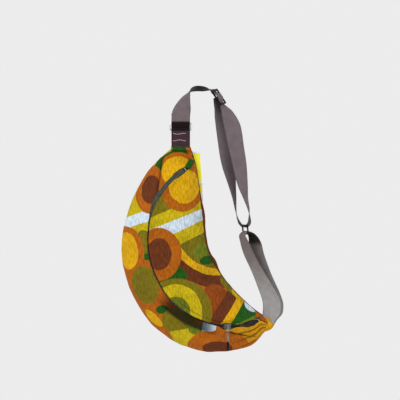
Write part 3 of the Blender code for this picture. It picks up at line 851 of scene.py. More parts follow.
FRONT_PRINT = [
    disc(43, -277, 135, 135, BROWN),
    disc(43, -277, 111, 111, GOLD),
    disc(43, -277, 97, 97, OLIVE),
    disc(12, -333, 28, 17, MOSS, 20),
    disc(14, -355, 17, 9, GREEN, 10),
    disc(-62, -388, 34, 22, GREEN, 10),
    half(-38, -320, LEMON, 26),
    half(-50, -298, WHITE, 25),
    half(-84, -285, LEMON, 22),
    half(-101, -268, OLIVE, 24, (-58, -250, 90)),
    disc(-38, -204, 44, 52, RUST),
    disc(-34, -203, 31, 36, GOLD),
    disc(-22, -158, 14, 8, RUST, 40),
    disc(-84, -341, 45, 53, RUST),
    disc(-84, -341, 25, 32, BROWN),
    disc(26, -438, 31, 34, RUSSET),
    disc(56, -408, 24, 8, OLIVE, -48),
    disc(78, -426, 18, 11, LEMON, -45),
    disc(92, -463, 38, 28, GREEN),
    stripe(116, -476, 9, MOSS, 20, (66, -480, -62)),
    stripe(66, -459, 8, GOLD, 56),
    stripe(46, -452, 12, BROWN, 56, (64, -425, 138)),
    disc(-50, -459, 73, 69, OLIVE),
    disc(-50, -459, 53, 58, LEMON),
    disc(-50, -459, 29, 33, MOSS),
    disc(101, -450, 15, 8, WHITE, -43),
    half(112, -463, RUST, -76),
]
TUCK_AT = (-77, -140)
TUCK_TURN = 83
LEFT_OF_TUCK = (*TUCK_AT, TUCK_TURN)
RIGHT_OF_TUCK = (*TUCK_AT, TUCK_TURN - 180)

SIDE_PRINT = [
    half(-60, -275, LEMON, 0),
    disc(-50, -182, 53, 52, GREEN),
    disc(-38, -140, 26, 22, GREEN),
    disc(-47, -187, 48, 53, RUST, 0, RIGHT_OF_TUCK),
    disc(-48, -174, 32, 32, GOLD, 0, RIGHT_OF_TUCK),
    disc(-22, -128, 8, 15, RUST),
    stripe(-134, -274, 11, WHITE, 21),
    stripe(-130, -297, 13, LEMON, 19),
    disc(-103, -211, 35, 49, RUST, 0, LEFT_OF_TUCK),
    disc(-102, -211, 21, 29, BROWN, 0, LEFT_OF_TUCK),
    disc(-114, -322, 20, 30, OLIVE),
    disc(-108, -346, 10, 7, GREEN),
    disc(-155, -339, 42, 50, RUST),
    disc(-155, -339, 28, 38, GOLD),
    disc(-115, -406, 31, 41, OLIVE),
    disc(-99.5, -479, 24, 11, GOLD, -45),
    disc(-78, -456, 15, 10, GREEN, 15),
    disc(-46, -482, 36, 32, OLIVE),
    half(-38, -500, LEMON, 192, (-66, -500, -80), (14, -500, 100)),
    disc(-8, -497, 20, 15, MOSS),
    half(1, -508, WHITE, 25, (3, -490, -97), (31, -490, 80)),
    # the lower tip's gold, darkened as painted shade
    disc(110, -496, 66, 34, SHADED_GOLD, 14),
    disc(36, -541, 66, 44, RUST),
    disc(34, -541, 32, 20, BROWN),
]

BACK_PRINT = [disc(x, z, r, r, paint)
              for x, z in ((-90, -200), (-20, -300), (-110, -340), (-40, -430), (50, -480))
              for r, paint in ((46, OLIVE), (36, GOLD), (20, BROWN))]

panel_front = cotton("printed_front", RUST, FRONT_PRINT)
panel_side = cotton("printed_side", RUST, SIDE_PRINT, 0.8)
panel_back = cotton("printed_back", RUST, BACK_PRINT, 0.8)
green_cloth = cotton("green_fold", GREEN)
# the tip fold's gold is darkened as painted shade
gold_cloth = cotton("gold_fold", SHADED_GOLD, [disc(138, -487, 9, 6, GOLD, 20)])
EDGE_PRINT = [disc(12, -303, 12, 18, GOLD), disc(20, -334, 8, 12, OLIVE), disc(62, -408, 40, 26, GOLD)]
edge_cloth = cotton("edge_roll", BROWN, EDGE_PRINT)
lining_cloth = cotton("plain_inside", srgb(150, 140, 118), (), 0.4)
hem_thread = thread("hem_thread", srgb(120, 86, 30))
pink_thread = thread("pink_thread", srgb(196, 158, 178))
dark_thread = thread("dark_thread", srgb(30, 24, 24))


def sewn_line(t, p, edge):
    """1 in the groove of the topstitching beside the front panel's edge."""
    return hump((p - edge).length, HEM, 0.9) * ease(t, share(radians(72)), share(radians(60)))


def tuck(x, z):
    """Depth, 0 to 1, of the tuck that runs down the side panel from its top, steep on its right."""
    beyond = (x - TUCK_AT[0]) - (z - TUCK_AT[1]) / tan(radians(TUCK_TURN))
    return hump(beyond, 0.0, 1.4 if beyond > 0 else 4.5) * window(z, -256, -236, -140, -126)


TIP_CREASE = (50, -496.5, 122, -521)     # the deep fold that runs from beside the slider towards the tip
LOW_CREASE = (-62, -455, -26, -500)    # a slack fold below the front panel's edge


def line_of(x, z, x0, z0, x1, z1):
    """1 on the line between two points of the flat fabric, fading beside it and towards its ends."""
    dx, dz = x1 - x0, z1 - z0
    reach = hypot(dx, dz)
    along = ((x - x0) * dx + (z - z0) * dz) / reach ** 2
    beside = ((x - x0) * dz - (z - z0) * dx) / reach
    return hump(beside, 0.0, 3.6 - 2.0 * min(max(along, 0.0), 1.0)) * window(along, -0.05, 0.2, 0.7, 1.05)


def side_dark(t, f, x, z):
    """Shade of the side panel in its hollow, gathers, tuck and creases, 0 to 1."""
    under_zip = 0.95 * hollow(t) * (1 - ease(f, 0.11, 0.21))
    tip = 0.12 * ease(t, 0.82, 0.88)
    crease = 0.9 * line_of(x, z, *TIP_CREASE) + 0.55 * line_of(x, z, *LOW_CREASE)
    return min(1.0, max(under_zip, tip + 0.6 * gather(t, f), 0.6 * tuck(x, z), crease))


def front_dark(t, p, edge):
    """Shade of the front panel in its folds and stitching groove, 0 to 1."""
    return 0.3 * ease(-soft(p, 42, 3.1), 0.0, 0.5) + 0.5 * sewn_line(t, p, edge)


def sunk(x, z):
    """How far the side panel is pressed in along its tuck and creases, in mm."""
    creases = line_of(x, z, *TIP_CREASE) + line_of(x, z, *LOW_CREASE)
    return TUCK_DEPTH * tuck(x, z) + CREASE_DEPTH * creases


def panels():
    """The three outer panels: front, side and back."""
    ts = steps(TOP_T, 1.0, 290)
    rows = [[front_point(t, f) for f in steps(0, 1, 90)] for t in ts]
    flats = [[(p.x, p.z, front_dark(t, p, row[-1])) for p in row] for t, row in zip(ts, rows)]
    on(sheet("front_panel_cloth", rows, flats, panel_front), "bag", "printed_cotton", "front_panel")
    ts = steps(0.0, 1.0, 300)
    rows = [[side_point(t, f) for f in steps(0, 1, 90)] for t in ts]
    flats = lay_flat(rows, side_dark)
    rows = [[p - FRONT * sunk(x, z) for p, (x, z, _) in zip(row, flat)] for row, flat in zip(rows, flats)]
    on(sheet("side_panel_cloth", rows, flats, panel_side), "bag", "printed_cotton", "side_panel")
    rows = [[back_point(t, f) for f in steps(0, 1, 40)] for t in steps(0.0, 1.0, 150)]
    flats = [[(p.x, p.z) for p in row] for row in rows]
    on(sheet("back_panel_cloth", rows, flats, panel_back), "bag", "printed_cotton", "back_panel")


def back_point(t, f):
    """Back panel: f = 0 at the inner edge, 1 where it meets the side panel."""
    a, b = inner_edge(t), side_point(t, 1.0)
    p = a.lerp(b, f)
    p.y = BACK_Y - 0.95 - (BACK_Y - 0.95 - a.y) * exp(-f * 26) - 0.8 * hump(f, 1.0, 0.03)
    quilt = 0.5 * (soft(p, 30, 2.2) - 0.5) * min(1.0, 8 * f * (1 - f))
    return p + Vector((0, min(quilt, 0.0), 0))


def edge_roll():
    """The back panel's cloth rolled round the inner edge."""
    path, fat = [], []
    for t in steps(0.02, 0.93, 220):
        p = inner_edge(t)
        inward = seam(t, -4) - p
        inward.y = 0
        thick = 0.7 * hump(t, 0.31, 0.05) + 0.4 * hump(t, 0.42, 0.08) + hump(t, 0.53, 0.045)
        path.append(p - inward.normalized() * (0.6 + 2.8 * thick) + Vector((0, 1.2, 0)))
        fat.append(1.5 + 2.3 * thick + 0.6 * soft(p, 12))
    roll = sweep(path, FRONT, lambda k: (fat[k], 0.8 * fat[k] + 0.6))
    piece("edge_roll", [roll], edge_cloth, "bag", "brown_cotton", "edge_binding")


def lining():
    """Inner pouch: front, inner edge, back and outer side in one sheet, open along the zip."""
    rows, flats = [], []
    for t in steps(0.18, 0.92, 60):
        outer = [front_point(t, f) for f in steps(0.88, 0, 14)]
        outer += [side_point(t, f) for f in steps(1, 0.14, 12)]
        middle = sum(outer, Vector()) / len(outer)
        row = []
        for p in outer:
            inset = min(LINING_INSET, 0.7 * (middle - p).length)
            q = p + (middle - p).normalized() * (inset + 1.5 * soft(p, 18, 4.0)) + Vector((0, 2, 0))
            q.y = min(q.y, BACK_Y - CLOTH - 3)
            row.append(q)
        rows.append(row)
    flats = [[(p.x + p.y, p.z) for p in row] for row in rows]
    on(sheet("lining_cloth", rows, flats, lining_cloth, 0.8), "bag", "plain_lining", "lining")


def end_folds():
    """Cloth closing the bag's two ends round the webbing."""
    rings = []
    for s in steps(0, 1, 14):
        half = 20.2 - 0.8 * s + 0.5 * sin(pi * s)
        deep = 9.6 + 1.4 * sin(pi * s) ** 0.8 - 4.0 * s
        z = -130 + 7.6 * s
        rings.append([Vector((-41.2 + half * squared(cos(a), 0.6),
                              1.5 - deep * squared(sin(a), 0.8)
                              + 0.35 * soft((half * cos(a), 0, z), 5, 6.0),
                              z + 0.8 * soft((half * cos(a), 0, 0), 9, 1.0) * s))
                      for a in around(48)])
    piece("top_fold", [skin(rings)], panel_side, "bag", "printed_cotton", "top_cap")
    rings = []
    for s in steps(0, 1, 16):
        x = 133 + 19.5 * s
        half = 16 * sqrt(max(0.02, 1 - (s * 0.98) ** 3))
        deep = 9.5 * sqrt(max(0.02, 1 - (s * 0.98) ** 3))
        ring = []
        for a in around(40):
            crimp = 1 + 0.09 * sin(7 * a + 2 * s)
            ring.append(Vector((x, 5.2 - deep * crimp * sin(a), -485 + 5 * s + half * crimp * cos(a))))
        rings.append(ring)
    piece("tip_fold", [skin(rings)], gold_cloth, "bag", "printed_cotton", "end_cap")


def hem():
    """Topstitching along the front panel's edge."""
    path = []
    for t in steps(share(radians(66)), 0.93, 220):
        reach = (seam(t, -3) - inner_edge(t)).length
        path.append(front_point(t, 1 - HEM / reach) + Vector((0, -CLOTH / 2 + 0.1, 0)))
    piece("hem_stitching", stitches(path, FRONT, 3.0, 0.9, 0.5), hem_thread, "bag", "printed_cotton")


# ---- zip ----
zip_green = tape_cloth("zip_tape_cloth", srgb(54, 62, 50))
# the teeth get painted shade below -122 mm of the frame, in the hem's shade
tooth_metal = metal("tooth_metal", srgb(126, 136, 122), 0.38, 0.7, -122)
steel = metal("dull_steel", srgb(176, 178, 172), 0.30, 0.5)
gunmetal = metal("gunmetal", srgb(104, 114, 108), 0.34, 0.5)
chrome = metal("chrome_plate", srgb(222, 228, 236), 0.12, 0.1)
black = plastic("black_moulding", srgb(9, 9, 10), 0.6)
wire_black = plastic("black_enamel", srgb(8, 7, 8), 0.6)


def tape(side):
    """Woven tape with its bead, from beside the teeth to under the panel."""
    profile = [(2.3, 0.5), (2.9, 1.0), (3.5, 0.9), (3.9, 0.35), (5.4, -0.2), (6.6, -1.6),
               (6.6, -2.2), (5.4, -0.8), (3.9, -0.35), (3.5, -0.9), (2.9, -1.0), (2.3, -0.5)]
    rings, flats = [], []
    for angle in steps(ARC_START - 0.01, ARC_END + 0.01, 260):
        part = parting(angle)
        rings.append([mouth(angle, side * (u + part), lift) for u, lift in profile])
        flats.append([(u, angle * MOUTH_R) for u, _ in profile])
    return skin(rings, flats)


def tooth(angle, side):
    """One tooth: a clamp on the bead, a neck and a rounded head, as a plate along the zip."""
    outline = [(4.0, 0.60), (2.6, 0.62), (1.6, 0.42), (0.7, 0.66), (-0.1, 0.60), (-0.55, 0.25)]
    shape = outline + [(u, -v) for u, v in outline[::-1]]
    part = parting(angle)
    run = turn_at(angle).col[0]
    rings = []
    for lift, grow in ((-1.15, 0.80), (-0.9, 1.0), (0.9, 1.0), (1.15, 0.80)):
        rings.append([mouth(angle, side * (0.2 + part + 2 + (u - 2) * grow), lift) + run * (v * grow)
                      for u, v in shape])
    return skin(rings)


def zip_rows():
    reach = ARC_END - ARC_START
    count = int(reach * 0.97 * MOUTH_R / TOOTH_PITCH)
    pitch = reach * 0.97 / count
    for name, side, shift in (("inner", -1, 0.25), ("outer", 1, 0.75)):
        piece("tape_" + name, [tape(side)], zip_green, "bag", "zip_tape", "zip_tape_" + name)
        row = [tooth(ARC_START + reach * 0.015 + pitch * (k + shift), side) for k in range(count)]
        piece("teeth_" + name, row, tooth_metal, "bag", "zip_metal", "zip_teeth_" + name, smooth_below=35)
    for name, angle in (("end", ARC_START + 0.02), ("top", ARC_END - 0.02)):
        path = [mouth(angle, r, 0.2) for r in steps(-3.2, 3.2, 10)]
        sizes = [1.2 * sqrt(max(0.15, 1 - (s * 0.96) ** 6)) for s in steps(-1, 1, 10)]
        stop = sweep(path, FACE, lambda k: (sizes[k], sizes[k]), square=0.6)
        piece("stop_" + name, [stop], steel, "bag", "zip_metal", "zip_stop_" + name)


def zip_fold():
    """Green cloth folded over the zip's upper end, from the tape to the inner edge."""
    start = mouth(ARC_END + 0.01, 0, 2.4)
    end = inner_edge(TOP_T) + Vector((-2.6, -3.0, -1.6))
    way = (end - start).normalized()
    across = way.cross(FRONT).normalized()
    rise = across.cross(way).normalized()
    rings, flats = [], []
    for s in steps(0, 1, 24):
        centre = start.lerp(end, s) + rise * (4.2 * sin(pi * s) + 0.3 * soft((s * 30, 0, 0), 6))
        half = 6.6 - 1.2 * s
        thick = 1.3 * sqrt(max(0.1, 1 - (2 * s - 1) ** 10))
        rings.append([centre + across * (half * squared(cos(a), 0.5))
                      + rise * (thick * sin(a)) for a in around(28)])
        flats.append([(half * cos(a), s * 20) for a in around(28)])
    fold = skin(rings, flats)
    piece("zip_fold", [fold], green_cloth, "bag", "green_cotton", "zip_end_tab", smooth_below=70)


SLIDE_L, SLIDE_W = 15.0, 11.0
PLATE = 1.3
LINK_HALF = (2.3, 5.2)
ARCH = 4.4
LINK_TOP = 2.0
DECK = 1.2 + GAP + PLATE / 2          # middle of the slider's upper plate over the arc


def slider_plate(face):
    """Plate with its sides turned towards the tape, wide at the open end and rounded at both."""
    turn = turn_at(SLIDER_AT)
    rings = []
    for x in steps(-SLIDE_L / 2, SLIDE_L / 2, 18):
        ends = sqrt(max(0.12, 1 - (abs(2 * x / SLIDE_L)) ** 7))
        half = (SLIDE_W / 2 - 1.1 * ease(x, -3, 7)) * (0.72 + 0.28 * ends)
        top = PLATE / 2 * (0.75 + 0.25 * ends)
        side = [(half - 0.5, top), (half, top - 0.5), (half, -1.5), (half - 0.9, -1.5),
                (half - 0.9, -PLATE / 2)]
        mirrored = [(-w, h) for w, h in side[::-1]]
        section = mirrored[2:] + side + mirrored[:2]
        rings.append([mouth(SLIDER_AT, 0, face * (DECK + h)) + turn @ Vector((x, w, 0)) for w, h in section])
    return skin(rings)


def slider():
    turn = turn_at(SLIDER_AT)
    post = sweep([mouth(SLIDER_AT, 0, h) - turn.col[0] * 4.6 for h in steps(-DECK, DECK, 4)], turn.col[0],
                 lambda k: (0.6, 1.5), square=0.7)
    skins = [slider_plate(1), slider_plate(-1), post]
    piece("slider", skins, gunmetal, "slider", "zip_metal", "slider_body", smooth_below=35)
    base = DECK + PLATE / 2 - 0.1
    path = []
    for s in steps(-1, 1, 28):
        high = ARCH * (1 - abs(s) ** 3.2)
        path.append(mouth(SLIDER_AT, 0, base + high) + turn.col[0] * (6.3 * squared(s, 0.8)))
    crown = sweep(path, turn.col[1], lambda k: (0.62, 1.15 - 0.3 * sin(pi * k / 28)), square=0.6)
    piece("crown", [crown], gunmetal, "slider", "zip_metal", "slider_crown")


def link_hinge():
    return mouth(SLIDER_AT, 0, 1.2 + GAP + PLATE + GAP + ARCH)


def bar_hinge():
    return link_hinge() + Vector((0, 0, LINK_TOP - 2 * LINK_HALF[1]))


def pull():
    hinge = link_hinge()
    ring = [hinge + Vector((0, a, b - LINK_HALF[1] + LINK_TOP))
            for a, b in rounded_loop(LINK_HALF[0], LINK_HALF[1], 1.6)]
    piece("link", [wire(ring, X, 0.75)], steel, "link", "zip_metal", "pull_link")
    eye = bar_hinge()
    outline = [(2.9 * sin(a), -3.0 * cos(a)) for a in steps(pi * 0.68, -pi * 0.68, 18)]
    outline = [(-x, y) for x, y in outline]
    outline += [(-1.7, 6.0), (-1.9, 21.2), (-1.3, 22.0), (1.3, 22.0), (1.9, 21.2), (1.7, 6.0)]
    bar = plate("bar", [dedupe(outline), circle(1.55)], 1.8, 0.3, eye, X, Vector((0, 0, -1)), steel)
    on(bar, "pull", "zip_metal", "pull_bar")
    count = 36
    path = [eye + Vector((0, 0, -22.3 - 18.7 * k / count)) for k in range(count + 1)]

    def grip(k):
        s = k / count
        ends = sqrt(max(0.08, 1 - abs(2 * s - 1) ** 8))
        groove = 1 - 0.07 * (1 if 0.3 < s < 0.8 and int(s * 24) % 2 else 0)
        return (2.5 - 0.5 * s) * ends * groove, (1.35 - 0.2 * s) * ends * groove

    tip = sweep(path, FRONT, grip, square=0.7, sides=20)
    piece("grip", [tip], black, "pull", "black_plastic", "pull_tip")


def dedupe(points):
    """Points of an outline without near repeats."""
    kept = []
    for p in points:
        if not kept or dist(p, kept[-1]) > 0.2:
            kept.append(p)
    return kept


# ---- upper end ----
aubergine = webbing("aubergine_web", srgb(68, 47, 54), srgb(46, 30, 36), 2.4)
taupe = webbing("taupe_web", srgb(124, 111, 115), srgb(104, 90, 93))
TAB_FOLD = 4.9                # radius of the tab's fold round the ring's lower bar
TAB_END = -125.0


def square_arc(angle, power):
    """Point of a half circle whose shoulders are squared."""
    c, s = cos(angle), sin(angle)
    return squared(c, power), abs(s) ** power


def upper_end():
    def leg_row(z, side):
        return Vector((RING_X, side * (TAB_FOLD - 0.9 * ease(-z, 100, 125)), z)), X

    rows = [leg_row(z, -1) for z in steps(TAB_END, RING_LOW, 24)]
    for k in range(1, 24):
        ang = pi - pi * k / 24
        y, up = square_arc(ang, 0.6)
        rows.append((Vector((RING_X, TAB_FOLD * y, RING_LOW + TAB_FOLD * 1.02 * up)), X))
    rows += [leg_row(z, 1) for z in steps(RING_LOW, TAB_END, 24)]
    leg = RING_LOW - TAB_END

    # painted shade on the tab's fold round the ring's lower bar
    def dark(run, _):
        return window(run, leg - 1.2, leg + 0.6, leg + 20, leg + 24) * 0.95

    tab = solid_of("tab_web", [band(rows, dark=dark)], aubergine)
    sewn(tab, "ring_tab")
    front = -TAB_FOLD - WEB_T / 2
    for k, drop in enumerate((6.5, 20.0)):
        path = [Vector((RING_X + x, front - 0.1 + 0.9 * ease(drop, 10, 30),
                        RING_LOW - drop + 0.9 * sin(x * 0.26 + 2 * k))) for x in steps(-15.5, 14.0, 60)]
        row = stitches(path, FRONT, 3.4, 0.4, 0.8)
        sewn(solid_of("tab_thread_%d" % (k + 1), row, pink_thread), "tab_stitch_%d" % (k + 1))
    tall = (RING_HIGH - RING_LOW) / 2
    middle = (RING_LOW + RING_HIGH) / 2
    loop = [Vector((RING_X + a, 0, middle + b)) for a, b in rounded_loop(RING_HALF, tall, 3.2)]
    piece("ring_chrome", [wire(loop, FRONT, RING_WIRE, 20)], chrome, "chrome_ring", "chrome", "strap_ring")


def sewn(obj, node, low=(RING_X, 0, -122), high=(RING_X, 0, -96)):
    """Fix a piece sewn to the bag in the frame and let it stand for its CAD node; low and high are not used.
    """
    place(low)
    place(high)
    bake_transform(obj)
    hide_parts(node)


# ---- strap ----
# Each station is its centre x, y and z, then the x and z parts of its width direction.
HOOK = [
    # up from the ring and over the top
    (-40.2, -2.9, -54, -1.0, 0.0),
    (-36.2, -3.2, -36, -0.80, 0.0),
    (-29.5, -3.0, -19, -0.42, 0.0),
    (-20.5, -1.0, -7.2, -0.05, -0.12),
    (-9.0, 0.0, -3.6, 0.0, -0.20),
    (5.0, 0.0, -4.0, 0.02, -0.18),
    (16.0, 0.0, -4.6, 0.12, -0.05),
]
RUN = [
    # from the slide down the front run, round the wire ring and back up under the slide
    (52.7, -5.0, -48, 0.57, 0.10),
    (62.8, -6.5, -74, 0.89, 0.02),
    (67.5, -5.6, -95, 0.92, 0.0),
    (71.7, -4.8, -119, 0.87, 0.0),
    (79.2, -3.8, -158, 0.79, 0.0),
    (85.5, -3.4, -199, 0.60, 0.0),
    (92.0, -2.2, -228, 0.30, 0.0),
    (98.0, -1.0, -250, 0.14, 0.0),
    (100.0, 0.0, -268, -0.05, 0.0),
    (99.0, 0.0, -280, -0.15, 0.0),
    (90.5, 0.0, -287.6, -0.20, 0.0),
    (81.5, 0.0, -281.5, -0.15, 0.0),
    (75.0, 0.0, -268, -0.02, 0.0),
    (71.5, 1.0, -250, 0.10, 0.0),
    (69.0, 1.8, -228, 0.24, 0.0),
    (64.0, 2.6, -199, 0.46, 0.0),
    (57.0, 3.4, -158, 0.78, 0.0),
    (52.8, 3.8, -112, 0.95, 0.0),
    (45.5, 4.4, -70, 0.85, 0.0),
    (38.5, 3.2, -48, 0.55, 0.05),
    (33.5, 1.5, -34, 0.36, 0.12),
    (30.5, 0.6, -22, 0.25, 0.17),
]
RING2 = Vector((90.5, 0.0, -284.0))           # centre of the wire ring's upper bar
LOOP = [
    # the lower loop from its sewn end up the front leg, over the wire ring and down the back leg
    (143.5, -1.0, -482, 0.93, -0.20),
    (145.0, -3.0, -468, 0.97, 0.0),
    (146.0, -5.0, -446, 0.98, 0.0),
    (139.8, -5.6, -425, 0.92, 0.0),
    (119.7, -4.6, -384, 0.68, 0.0),
    (99.2, -3.0, -344, 0.55, 0.0),
    (89.6, -1.4, -318, 0.44, 0.0),
    (85.4, 0.0, -304, 0.30, 0.0),
    (92.4, 0.0, -296.3, 0.20, 0.0),
    (101.5, 0.0, -299.5, 0.32, 0.0),
    (108.0, 0.4, -309, 0.50, 0.0),
    (112.0, 1.2, -322, 0.64, 0.0),
    (118.0, 2.8, -344, 0.62, 0.0),
    (130.5, 4.6, -384, 0.74, 0.0),
    (145.5, 5.4, -425, 0.93, 0.0),
    (151.0, 4.6, -446, 0.97, 0.0),
    (149.0, 1.4, -468, 0.97, 0.0),
    (146.0, 2.6, -482, 0.93, -0.20),
]


def along_stations(stations, depth=1, per=14):
    """Rows of webbing through stations; the rest of each width direction runs in depth, 1 or -1."""
    widths = [(wx, depth * sqrt(max(0.0, 1 - wx * wx - wz * wz)), wz) for *_, wx, wz in stations]
    return [(spline([s[:3] for s in stations], t), spline(widths, t).normalized())
            for t in steps(0, 1, (len(stations) - 1) * per)]


GLIDE_AT = Vector((36.8, -1.8, -21.0))
GLIDE_W, GLIDE_L, GLIDE_T = 46.0, 36.0, 1.6
GLIDE_EXTRA = 1.6             # the frame is this much thicker than the CAD's plate
RAIL = 4.2                    # width of the frame's bars, wider than the CAD's
LIFT = GLIDE_T / 2 + GAP + WEB_T / 2 + 0.6
FOLD = RING_WIRE + GAP + WEB_T / 2
FOLD_LOW = -84.5              # lowest point of the strap's fold through the chrome ring


def glide_frame():
    """Across the webbing, down along it, and out of the slide's face."""
    across = Vector((0.25, 0.95, 0.17)).normalized()
    down = Vector((0.54, 0.0, -0.84))
    down = (down - across * down.dot(across)).normalized()
    return across, down, down.cross(across)


def through_glide():
    """Rows of webbing under the end bars and over the centre bar."""
    across, down, out = glide_frame()
    near = [(5, 1), (11, -1.1), (16.5, -1.1), (20, -1.25)]
    path = [(-s, lift) for s, lift in near[::-1]] + [(0, 1.05)] + near
    points = [GLIDE_AT + down * s + out * (lift * LIFT) for s, lift in path]
    return [(spline(points, t), across) for t in steps(0, 1, 64)]


def run_to(rows, point):
    """Length along a band to the row nearest a point."""
    nearest = min(range(len(rows)), key=lambda k: (rows[k][0] - point).length)
    return sum((b[0] - a[0]).length for a, b in zip(rows[:nearest], rows[1:]))


def smooth_rows(rows, passes):
    """Relax the joins between stretches of webbing, ends fixed."""
    for _ in range(passes):
        rows = [rows[0]] + [((a[0] + b[0] * 2 + c[0]) / 4, (a[1] + b[1] * 2 + c[1]).normalized())
                            for a, b, c in zip(rows, rows[1:], rows[2:])] + [rows[-1]]
    return rows


def strap():
    tail = [(Vector((RING_X, FOLD, z)), -X) for z in steps(RING_HIGH + 20, RING_HIGH, 16)]
    fold = []
    for ang in steps(0, pi, 28):
        y, down = square_arc(ang, 0.6)
        fold.append((Vector((RING_X, FOLD * y, RING_HIGH - (RING_HIGH - FOLD_LOW) * down)), -X))
    rise = [(Vector((RING_X + 0.2 * s, -FOLD, RING_HIGH + 16 * s)), -X) for s in steps(0.1, 0.9, 8)]
    rows = tail[:-1] + fold + rise + along_stations(HOOK)
    rows += through_glide() + along_stations(RUN)
    rows = smooth_rows(rows, 3)
    bend = run_to(rows, Vector((RING_X, -FOLD, RING_HIGH)))
    low = run_to(rows, RING2)
    top = run_to(rows, Vector((0, 0, -3.5)))

    # painted shade: near the fold through the chrome ring, on the inner side round the wire ring and on the
    # underside over the hanger
    def dark(run_mm, side):
        near_ring = 1 - ease(run_mm, bend + 1.0, bend + 7.0)
        inside = hump(run_mm, low, 26) if side < 0 else 0.0
        under = hump(run_mm, top, 24) if side > 0 else 0.0
        return max(0.95 * near_ring, 0.85 * inside, 0.9 * under)

    piece("strap_web", [band(rows, dark=dark)], taupe, "strap", "taupe_webbing", "strap")
    path = [Vector((RING_X + x, FOLD + WEB_T / 2, RING_HIGH + z))
            for x, z in ((-15, 12), (15, 12), (15, 18), (-15, 18), (-15, 12))]
    piece("strap_thread", stitches(path, -FRONT), dark_thread, "strap", "black_plastic", "strap_stitch")


def glide():
    """Three-bar slide: a flat frame with two slots, tilted with the webbing."""
    across, down, _ = glide_frame()
    slot = (GLIDE_L - 3 * RAIL) / 4
    loops = [dedupe(rounded_loop(GLIDE_W / 2, GLIDE_L / 2, 3.0))]
    for side in (-1, 1):
        hole = rounded_loop(GLIDE_W / 2 - RAIL, slot, 1.0)
        loops.append(dedupe([(a, b + side * (slot + RAIL / 2)) for a, b in hole]))
    frame_piece = plate("three_bar_slide", loops, GLIDE_T + GLIDE_EXTRA, 0.6, GLIDE_AT, across, down, black)
    on(frame_piece, "glide", "black_plastic", "glide")


def lower_ring():
    w = Vector((-0.20, 0.98, 0)).normalized()
    down = Vector((0.10, 0, -1)).normalized()
    centre = RING2 + down * LOOP_DROP
    loop = [centre + w * a + down * b for a, b in rounded_loop(LOOP_HALF, LOOP_DROP, 3.0)]
    ring = wire(loop, w.cross(down), LOOP_WIRE, 16)
    piece("ring_wire", [ring], wire_black, "lower_ring", "black_wire", "wire_ring")


def grey_webbing(fold):
    """Pale webbing that darkens towards its fold round the wire ring."""
    near, edge, far = srgb(136, 124, 124), srgb(122, 112, 111), srgb(174, 171, 171)
    return webbing("grey_web", near, edge, 1.7, far, 30, 150, fold)


def end_loop():
    rows = []
    for centre, width in along_stations(LOOP, -1):
        gathered = ease(-centre.z, 462, 482)
        rows.append((centre - X * (4.5 * gathered), width * (1 - 0.36 * gathered)))
    fold = run_to(rows, Vector((93, 0, -296.8)))

    # painted shade on the loop's inner side near its fold round the wire ring
    def dark(run, side):
        return 0.9 * window(run, fold + 4, fold + 12, fold + 26, fold + 44) if side < 0 else 0.0

    web = solid_of("loop_web", [band(rows, dark=dark)], grey_webbing(fold))
    sewn(web, "end_loop", (146, 0, -480), (140, 0, -455))


# ---- tag ----
TAG_AT = Vector((4.0, 22.5, -199.0))
TAG_HOLE = Vector((-7.0, 22.5, -208.0))


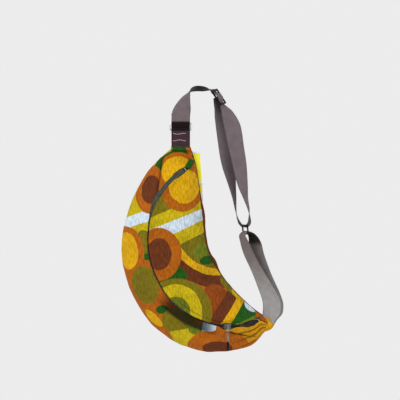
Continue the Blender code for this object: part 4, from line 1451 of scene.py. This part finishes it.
def tag():
    turn = Matrix.Rotation(radians(-4), 3, "Y")
    hole = Vector((TAG_W / 2 - HOLE_IN[0], 0, HOLE_IN[1] - TAG_H / 2))
    centre = TAG_HOLE - turn @ hole
    loops = [dedupe(rounded_loop(TAG_W / 2, TAG_H / 2, 2.5)), circle(2.2, hole.x, hole.z)]
    up = Vector((0, 0, 1))
    paper = plate("paper_tag", loops, TAG_T, 0.12, centre, turn @ X, turn @ up, card("tag_card"))
    on(paper, "tag", "tag_card", "swing_tag")
    middle = (TAG_AT + TAG_HOLE) / 2
    reach = (TAG_HOLE - TAG_AT).length / 2 + 1.2
    way = (TAG_HOLE - TAG_AT).normalized()
    loop = [middle + way * a + Vector((0, b, 0)) for a, b in rounded_loop(reach, 1.9, 1.2)]
    pin = wire(loop, way.cross(-FRONT), 0.5, 10)
    nylon = plastic("clear_nylon", srgb(214, 220, 224), 0.25)
    piece("tag_loop", [pin], nylon, "tag", "tag_card", "tag_pin")


panels()
edge_roll()
lining()
end_folds()
hem()
zip_rows()
zip_fold()
slider()
pull()
upper_end()
strap()
glide()
lower_ring()
end_loop()
tag()


# ---- stage (metres) ----
FLOOR_HALF, FLOOR_Z = 1.6, -0.62
AIM = (0.08, 0, 0)            # the point the lamps face
CAMERA_AWAY = 2.5
VIEW_WIDTH = 0.82             # what the camera takes in at the bag's distance
SENSOR = 36                   # millimetres


def stage():
    """Plain floor, grey surround, two soft lamps and a camera straight in front."""
    mesh = bpy.data.meshes.new("floor")
    corners = [(a * FLOOR_HALF, b * FLOOR_HALF, FLOOR_Z) for a, b in ((-1, -1), (1, -1), (1, 1), (-1, 1))]
    mesh.from_pydata(corners, [], [(0, 1, 2, 3)])
    floor = link(bpy.data.objects.new("floor", mesh))
    n = Nodes("pale_floor")
    at = object_mm(n)
    tone = n.ramp(n.noise(at, 0.01, 2.0), 0.3, 0.7, 0.80, 0.84)
    mesh.materials.append(n.finish(n.grey(tone), 0.8, n.noise(at, 0.5, 2.0), 0.05))
    world = bpy.data.worlds.new("studio")
    bpy.context.scene.world = world
    world.use_nodes = True
    world.node_tree.nodes["Background"].inputs[0].default_value = (0.84, 0.84, 0.84, 1)
    for name, at, size, power in (("key", (-0.9, -1.6, 1.1), 1.2, 14), ("fill", (1.4, -1.2, 0.2), 1.4, 5)):
        lamp = bpy.data.lights.new(name, "AREA")
        lamp.size = size
        lamp.energy = power
        obj = link(bpy.data.objects.new(name, lamp))
        obj.location = at
        obj.rotation_euler = (Vector(AIM) - Vector(at)).to_track_quat("-Z", "Y").to_euler()
    lens = bpy.data.cameras.new("camera")
    cam = link(bpy.data.objects.new("camera", lens))
    lens.sensor_width = SENSOR
    lens.lens = SENSOR * CAMERA_AWAY / VIEW_WIDTH
    cam.location = place((-1.5, -CAMERA_AWAY * 1000, -232))
    cam.rotation_euler = (pi / 2, 0, 0)
    bpy.context.scene.camera = cam
    bpy.context.scene.view_settings.view_transform = "Standard"


stage()
